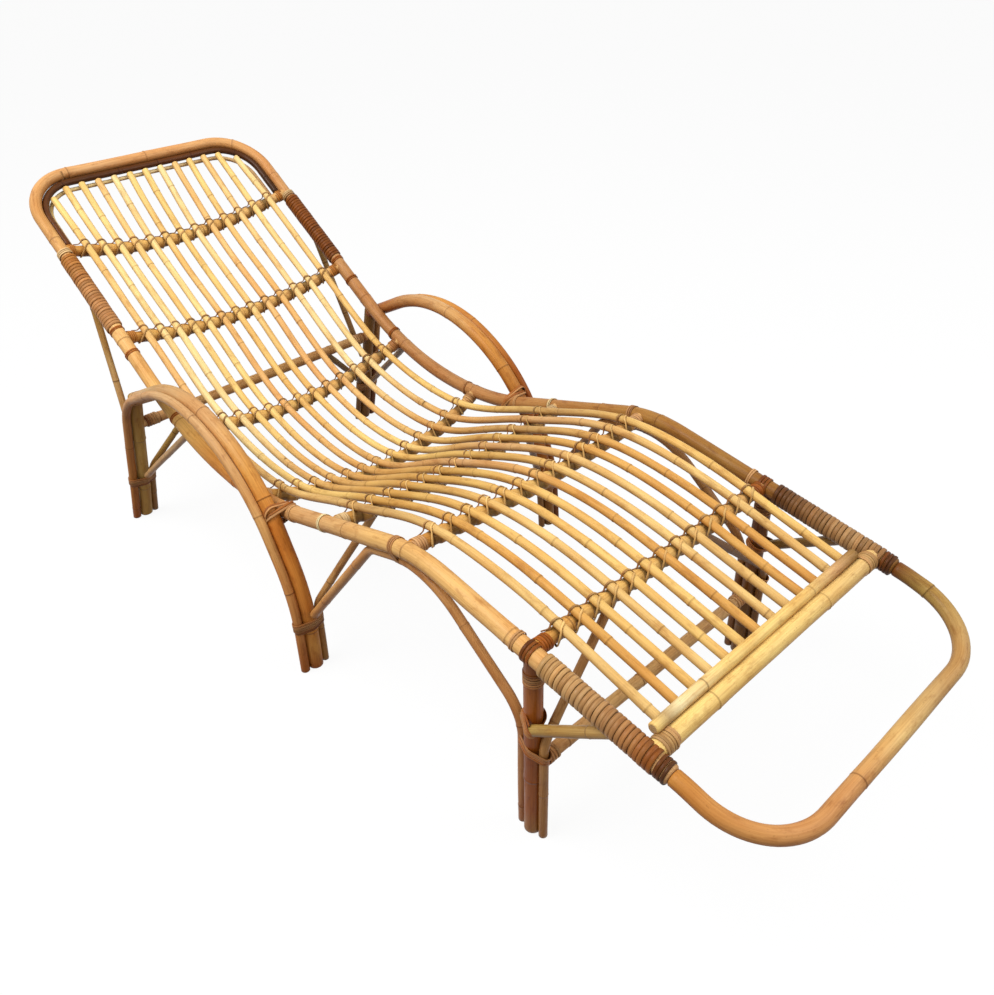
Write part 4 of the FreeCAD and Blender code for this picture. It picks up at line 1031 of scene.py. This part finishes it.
lone_rail = [(0, 0, rail_radius)]
rail_and_brace = [(0, 0, rail_radius), (0, -under_rail, brace_radius)]
past_arm, past_post = 1.2 * (arm_radius + MARGIN), 1.2 * (post_radius + MARGIN)
past_knee = bar_radius + LASH_WIDTH
RAIL_LASHES = (
    (BARS["back"][0], bar_radius, 2, lone_rail, RUST),
    (BARS["lumbar"][0], beside_bar, 2, lone_rail, RUST),
    (BARS["seat"][0], beside_bar, 2, lone_rail, blend(RUST, TAN, 0.5)),
    (BARS["thigh"][0], bar_radius, 2, lone_rail, CREAM),
    (BARS["calf"][0], beside_bar, 2, lone_rail, TAN),
    (BARS["head"][0], -(bar_radius + lash_length - LASH_PITCH), 3, lone_rail, blend(CREAM, TAN, 0.5)),
    (BARS["knee"][0], past_knee, 3, rail_and_brace, blend(RUST, TAN, 0.6)),
    (cross_y, -(past_arm + lash_length), 2, lone_rail, TAN),
    (joint_y, past_post, 2, lone_rail, RUST),
)


def tied_part(base, axis, canes, loops, stops, seed):
    """Strip wound round canes that meet at an angle, in turns square to an axis."""
    across = unit(ACROSS - axis * (axis @ ACROSS))
    along = np.cross(axis, across)
    circles = []
    for point, heading, radius in canes:
        share = heading @ axis
        centre = point + heading * (((base - point) @ axis) / share) - base
        stretch = unit(heading - axis * share) * radius * (1 / abs(share) - 1)
        for spot in (centre - stretch, centre + stretch):
            circles.append((spot @ across, spot @ along, radius))
    start = base - axis * (loops * BAR_WRAP_PITCH / 2)
    return wound_part(start, axis, across, circles, loops, BAR_WRAP, stops, seed, step=3)


def arm_cross_lash(side, tilt, seed):
    """Slanting turns round the rail and the arm where they cross."""
    centre, heading = rail_at(cross_y)
    arm_heading = unit(at(0, math.cos(math.radians(ARM_SLOPES[1])), math.sin(math.radians(ARM_SLOPES[1]))))
    middle = unit(heading + arm_heading)
    turn = math.radians(tilt)
    axis = middle * math.cos(turn) + upward(middle) * math.sin(turn)
    canes = [(at_x(centre, side * HALF_WIDTH), heading, rail_radius),
             (in_arm(side, cross_y, cross_z), arm_heading, arm_radius)]
    return tied_part(canes[0][0], axis, canes, 2, [(0, TAN), (1, RUST)], seed)


parts = []
for _, side in SIDES:
    for number, (y, distance, loops, circles, tone) in enumerate(RAIL_LASHES):
        stops = [(0, tone), (1, tone, RUST, 0.2)]
        # Painted shade: lashings on the far side start darker
        if side > 0:
            stops = [(0, tone, UMBER, 0.6), (1, tone)]
        seed = 260 + number + 12 * side
        parts.append(rail_lash(side * HALF_WIDTH, y, distance, loops, circles, seed, stops))
    parts += [arm_cross_lash(side, tilt, 280 + tilt + side) for tilt in (-16, 16)]
    calf_low = along_rail(side * HALF_WIDTH, BARS["calf"][0], -bar_radius)
    parts.append(wound_part(calf_low, leg_line, ACROSS, lone_rail, 3, WRAP,
                            [(0, RUST, UMBER, 0.5), (1, UMBER)], 250 + side))
bound("rail_lashings", parts)

parts = []
for _, side in SIDES:
    outward = at(side, 0, 0)
    leg_foot, post_foot = in_arm(side, arm_foot_y, 0), in_arm(side, rear_foot_y, 0)
    leg_axis = unit(in_arm(side, lower_bend_y, ARM_BENDS[0]) - leg_foot)
    post_axis = unit(in_arm(side, post_y(post_top_z), post_top_z) - post_foot)
    stops = [(0, UMBER), (0.5, UMBER, TAN, 0.4), (1, RUST, TAN, 0.3)]
    lashed = ((leg_foot, leg_axis, MID_LASH_HEIGHT), (post_foot, post_axis, REAR_LASH_HEIGHT))
    for base, axis, height in lashed:
        ring = [(hoop_out, 0, hoop_radius), (0, 0, arm_radius), (brace_in, 0, brace_radius)]
        across = unit(outward - axis * (axis @ outward))
        parts.append(wound_part(base + axis * (height / axis[2]), axis, across, ring, 5, BAR_WRAP, stops,
                                290 + side, step=3))
    ring = [(post_to_brace, 0, brace_radius), (0, 0, front_radius), (-post_to_brace, 0, brace_radius)]
    tilted = unit(at(0, -LEG_LASH_TILT, 1))
    front_low = on_front(side, FRONT_LASH_HEIGHT)
    parts.append(wound_part(front_low, tilted, unit(at(0, 1, LEG_LASH_TILT)), ring, 4, BAR_WRAP,
                            [(0, RUST), (1, RUST, TAN, 0.5)], 294 + side, step=3))
    brace_foot, brace_top = foot_brace(side)[0]
    brace_heading = unit(brace_top - brace_foot)
    post_at = on_front(side, brace_foot[2] + brace_radius)
    canes = [(post_at, at(0, 0, 1), front_radius), (brace_foot, brace_heading, brace_radius)]
    parts.append(tied_part(post_at, unit(at(0, 0, 1) + brace_heading), canes, 3.5,
                           [(0, TAN, RUST, 0.5), (1, RUST)], 302 + side))
    top = on_front(side, front_top - rail_radius - LASH_WIDTH - 2 * MARGIN)
    parts.append(wound_part(top, at(0, 0, -1), ACROSS, [(0, 0, front_radius)], 6, LASH, stops, 298 + side))
bound("leg_bindings", parts)

# Strands that tie every slat to its crossbars
STRIP_WIDTH, STRIP_THICK = 3.4, 2.0
strip_side = bar_radius + STRIP_THICK / 2
strip_on_slat = slat_radius + STRIP_THICK / 2


def smooth(points, count=7):
    """Smooth line through control points."""
    padded = np.vstack([2 * points[0] - points[1], points, 2 * points[-1] - points[-2]])
    t = np.linspace(0, 1, count, endpoint=False)[:, None]
    line = []
    for p0, p1, p2, p3 in zip(padded, padded[1:], padded[2:], padded[3:]):
        bend = (2 * p0 - 5 * p1 + 4 * p2 - p3) * t ** 2 + (3 * p1 - p0 - 3 * p2 + p3) * t ** 3
        line.append(0.5 * (2 * p1 + (p2 - p0) * t + bend))
    return np.vstack(line + [points[-1:]])


def on_bar(across, turn, facing_across=0.0):
    """Station of a strand on the bar: place, and outward direction, at a turn from the head side upwards."""
    ahead, up = math.cos(math.radians(turn)), math.sin(math.radians(turn))
    reach = strip_side + BEAD * rest_share(abs(across))
    return (across, reach * ahead, reach * up), (facing_across, ahead, up)


def on_slat(ahead, turn):
    """Station of a strand on the slat: place, and outward direction, at a turn from the far side upwards."""
    across, up = math.cos(math.radians(turn)), math.sin(math.radians(turn))
    return (strip_on_slat * across, strip_side * ahead, slat_on_bar + strip_on_slat * up), (across, 0, up)


# One loop of a slat lashing, each station with its share of the darker colour, which is painted shade where
# the strand runs under the bar and up its head side: up from the head side of the bar, over the slat, back
# over it and down the foot side of the bar, then under the bar to the next slat
STRAND = (
    (on_bar(-18, 20), 1.0),
    (on_bar(-12, 58), 1.0),
    (on_slat(0.72, 200), 1.0),
    (on_slat(0.7, 140), 0.8),
    (on_slat(0.6, 85), 0.5),
    (on_slat(0.4, 35), 0.4),
    (on_slat(0.12, 10), 0.4),
    (on_slat(-0.1, 40), 0.2),
    (on_slat(-0.34, 88), 0.0),
    (on_slat(-0.62, 138), 0.0),
    (on_slat(-0.9, 178), 0.0),
    (on_bar(-10.2, 165, -0.3), 0.0),
    (on_bar(-10.4, 200), 0.1),
    (on_bar(-6, 235), 0.6),
    (on_bar(2, 270), 1.0),
    (on_bar(13, 350), 1.0),
)


def slat_strand(index, pale, dark, seed):
    """One strand along a crossbar, which ties every slat to it."""
    points, outward, shades = [], [], []
    for x in slat_xs:
        place, across, heading, rise = slat_rests(x)[0][index]
        turn = np.array([across, heading, rise])
        for (station, facing), shade in STRAND:
            points.append(place + np.array(station) @ turn)
            outward.append(np.array(facing, float) @ turn)
            # Painted shade: the strand takes the darker colour under the bar and up its head side
            shades.append(blend(pale, dark, shade))
    last = len(points) - 2
    line, outward, tones = [smooth(np.array(values[:last])) for values in (points, outward, shades)]
    tones = tones * (1 + 0.25 * wave(distances(line), 40, seed))[:, None]
    return strand_part(line, outward, STRIP_WIDTH, STRIP_THICK, np.clip(tones, 0.004, 1), seed)


parts = []
for index, name in enumerate(reversed(BARS)):
    pale = blend(STRAW, TAN, 0.5) if name in ("thigh", "seat", "knee", "calf") else blend(TAN, OLIVE, 0.4)
    parts.append(slat_strand(index, pale, blend(UMBER, TAN, 0.3), 300 + index))
bound("slat_lashings", parts)

# Floor, lamps and surroundings, and the camera at the photograph's viewpoint, in metres
FLOOR_HALF, FLOOR_DIM, FLOOR_PALE, FLOOR_GLOW, AMBIENT = 12.0, 0.22, 0.92, 0.92, 0.55
LAMPS = (("key", (-1.6, 0.4, 3.2), 2.2, 95), ("fill", (1.8, -2.2, 2.4), 2.5, 40))
LAMP_TARGET = (0, 0, 0.3)
CAMERA_PLACE, CAMERA_LENS, CAMERA_SENSOR = (-0.8990, -1.1910, 1.2326), 33.18, 36
CAMERA_RIGHT, CAMERA_DOWN = Vector((0.7228, -0.6907, -0.0200)), Vector((-0.4083, -0.4035, -0.8188))


def seen_rays(n):
    """One for rays from the camera, reflected rays and transmitted rays, which see the white background."""
    path = n.add("ShaderNodeLightPath").outputs
    mirrored = n.value("MAXIMUM", path["Is Glossy Ray"], path["Is Transmission Ray"])
    return n.value("MAXIMUM", path["Is Camera Ray"], mirrored)


def floor_material():
    """White floor that keeps a faint shadow, and throws little light back up."""
    material = bpy.data.materials.new("pale_floor")
    n = Nodes(material)
    dim = n.add("ShaderNodeBsdfDiffuse", {"Color": rgba([FLOOR_DIM] * 3)})
    pale = n.add("ShaderNodeBsdfDiffuse", {"Color": rgba([FLOOR_PALE] * 3)})
    glow = n.add("ShaderNodeEmission", {"Color": (1, 1, 1, 1), "Strength": 1.0})
    seen_floor = n.add("ShaderNodeMixShader", {0: FLOOR_GLOW, 1: pale.outputs[0], 2: glow.outputs[0]})
    mix = n.add("ShaderNodeMixShader", {0: seen_rays(n), 1: dim.outputs[0], 2: seen_floor.outputs[0]})
    n.add("ShaderNodeOutputMaterial", {0: mix.outputs[0]})
    return material


def add_floor():
    """Plain floor under the object."""
    mesh = bpy.data.meshes.new("floor")
    turns = ((-1, -1), (1, -1), (1, 1), (-1, 1))
    corners = [(x * FLOOR_HALF, y * FLOOR_HALF, 0) for x, y in turns]
    mesh.from_pydata(corners, [], [(0, 1, 2, 3)])
    mesh.materials.append(floor_material())
    floor = linked("floor", mesh)


def add_lamp(name, place, size, power):
    """Soft lamp that faces the chaise."""
    lamp = bpy.data.lights.new(name, "AREA")
    lamp.shape = "DISK"
    lamp.size = size
    lamp.energy = power
    light = linked(name, lamp)
    light.location = place
    light.rotation_euler = (Vector(LAMP_TARGET) - Vector(place)).to_track_quat("-Z", "Y").to_euler()


def add_world():
    """Even pale surroundings, white where they are seen."""
    world = bpy.data.worlds.new("studio")
    bpy.context.scene.world = world
    n = Nodes(world)
    strength = n.ranged(seen_rays(n), 0.0, 1.0, AMBIENT, 1.0)
    back = n.add("ShaderNodeBackground", {"Color": (1, 1, 1, 1), "Strength": strength})
    n.add("ShaderNodeOutputWorld", {0: back.outputs[0]})


def add_camera():
    """Camera of the scene."""
    data = bpy.data.cameras.new("camera")
    data.lens = CAMERA_LENS
    data.sensor_width = CAMERA_SENSOR
    camera = linked("camera", data)
    forward = CAMERA_RIGHT.cross(CAMERA_DOWN)
    turn = Matrix((CAMERA_RIGHT, -CAMERA_DOWN, -forward)).transposed()
    camera.matrix_world = Matrix.Translation(CAMERA_PLACE) @ turn.to_4x4()
    bpy.context.scene.camera = camera


add_floor()
for lamp in LAMPS:
    add_lamp(*lamp)
add_world()
add_camera()
bpy.context.scene.view_settings.view_transform = "Standard"
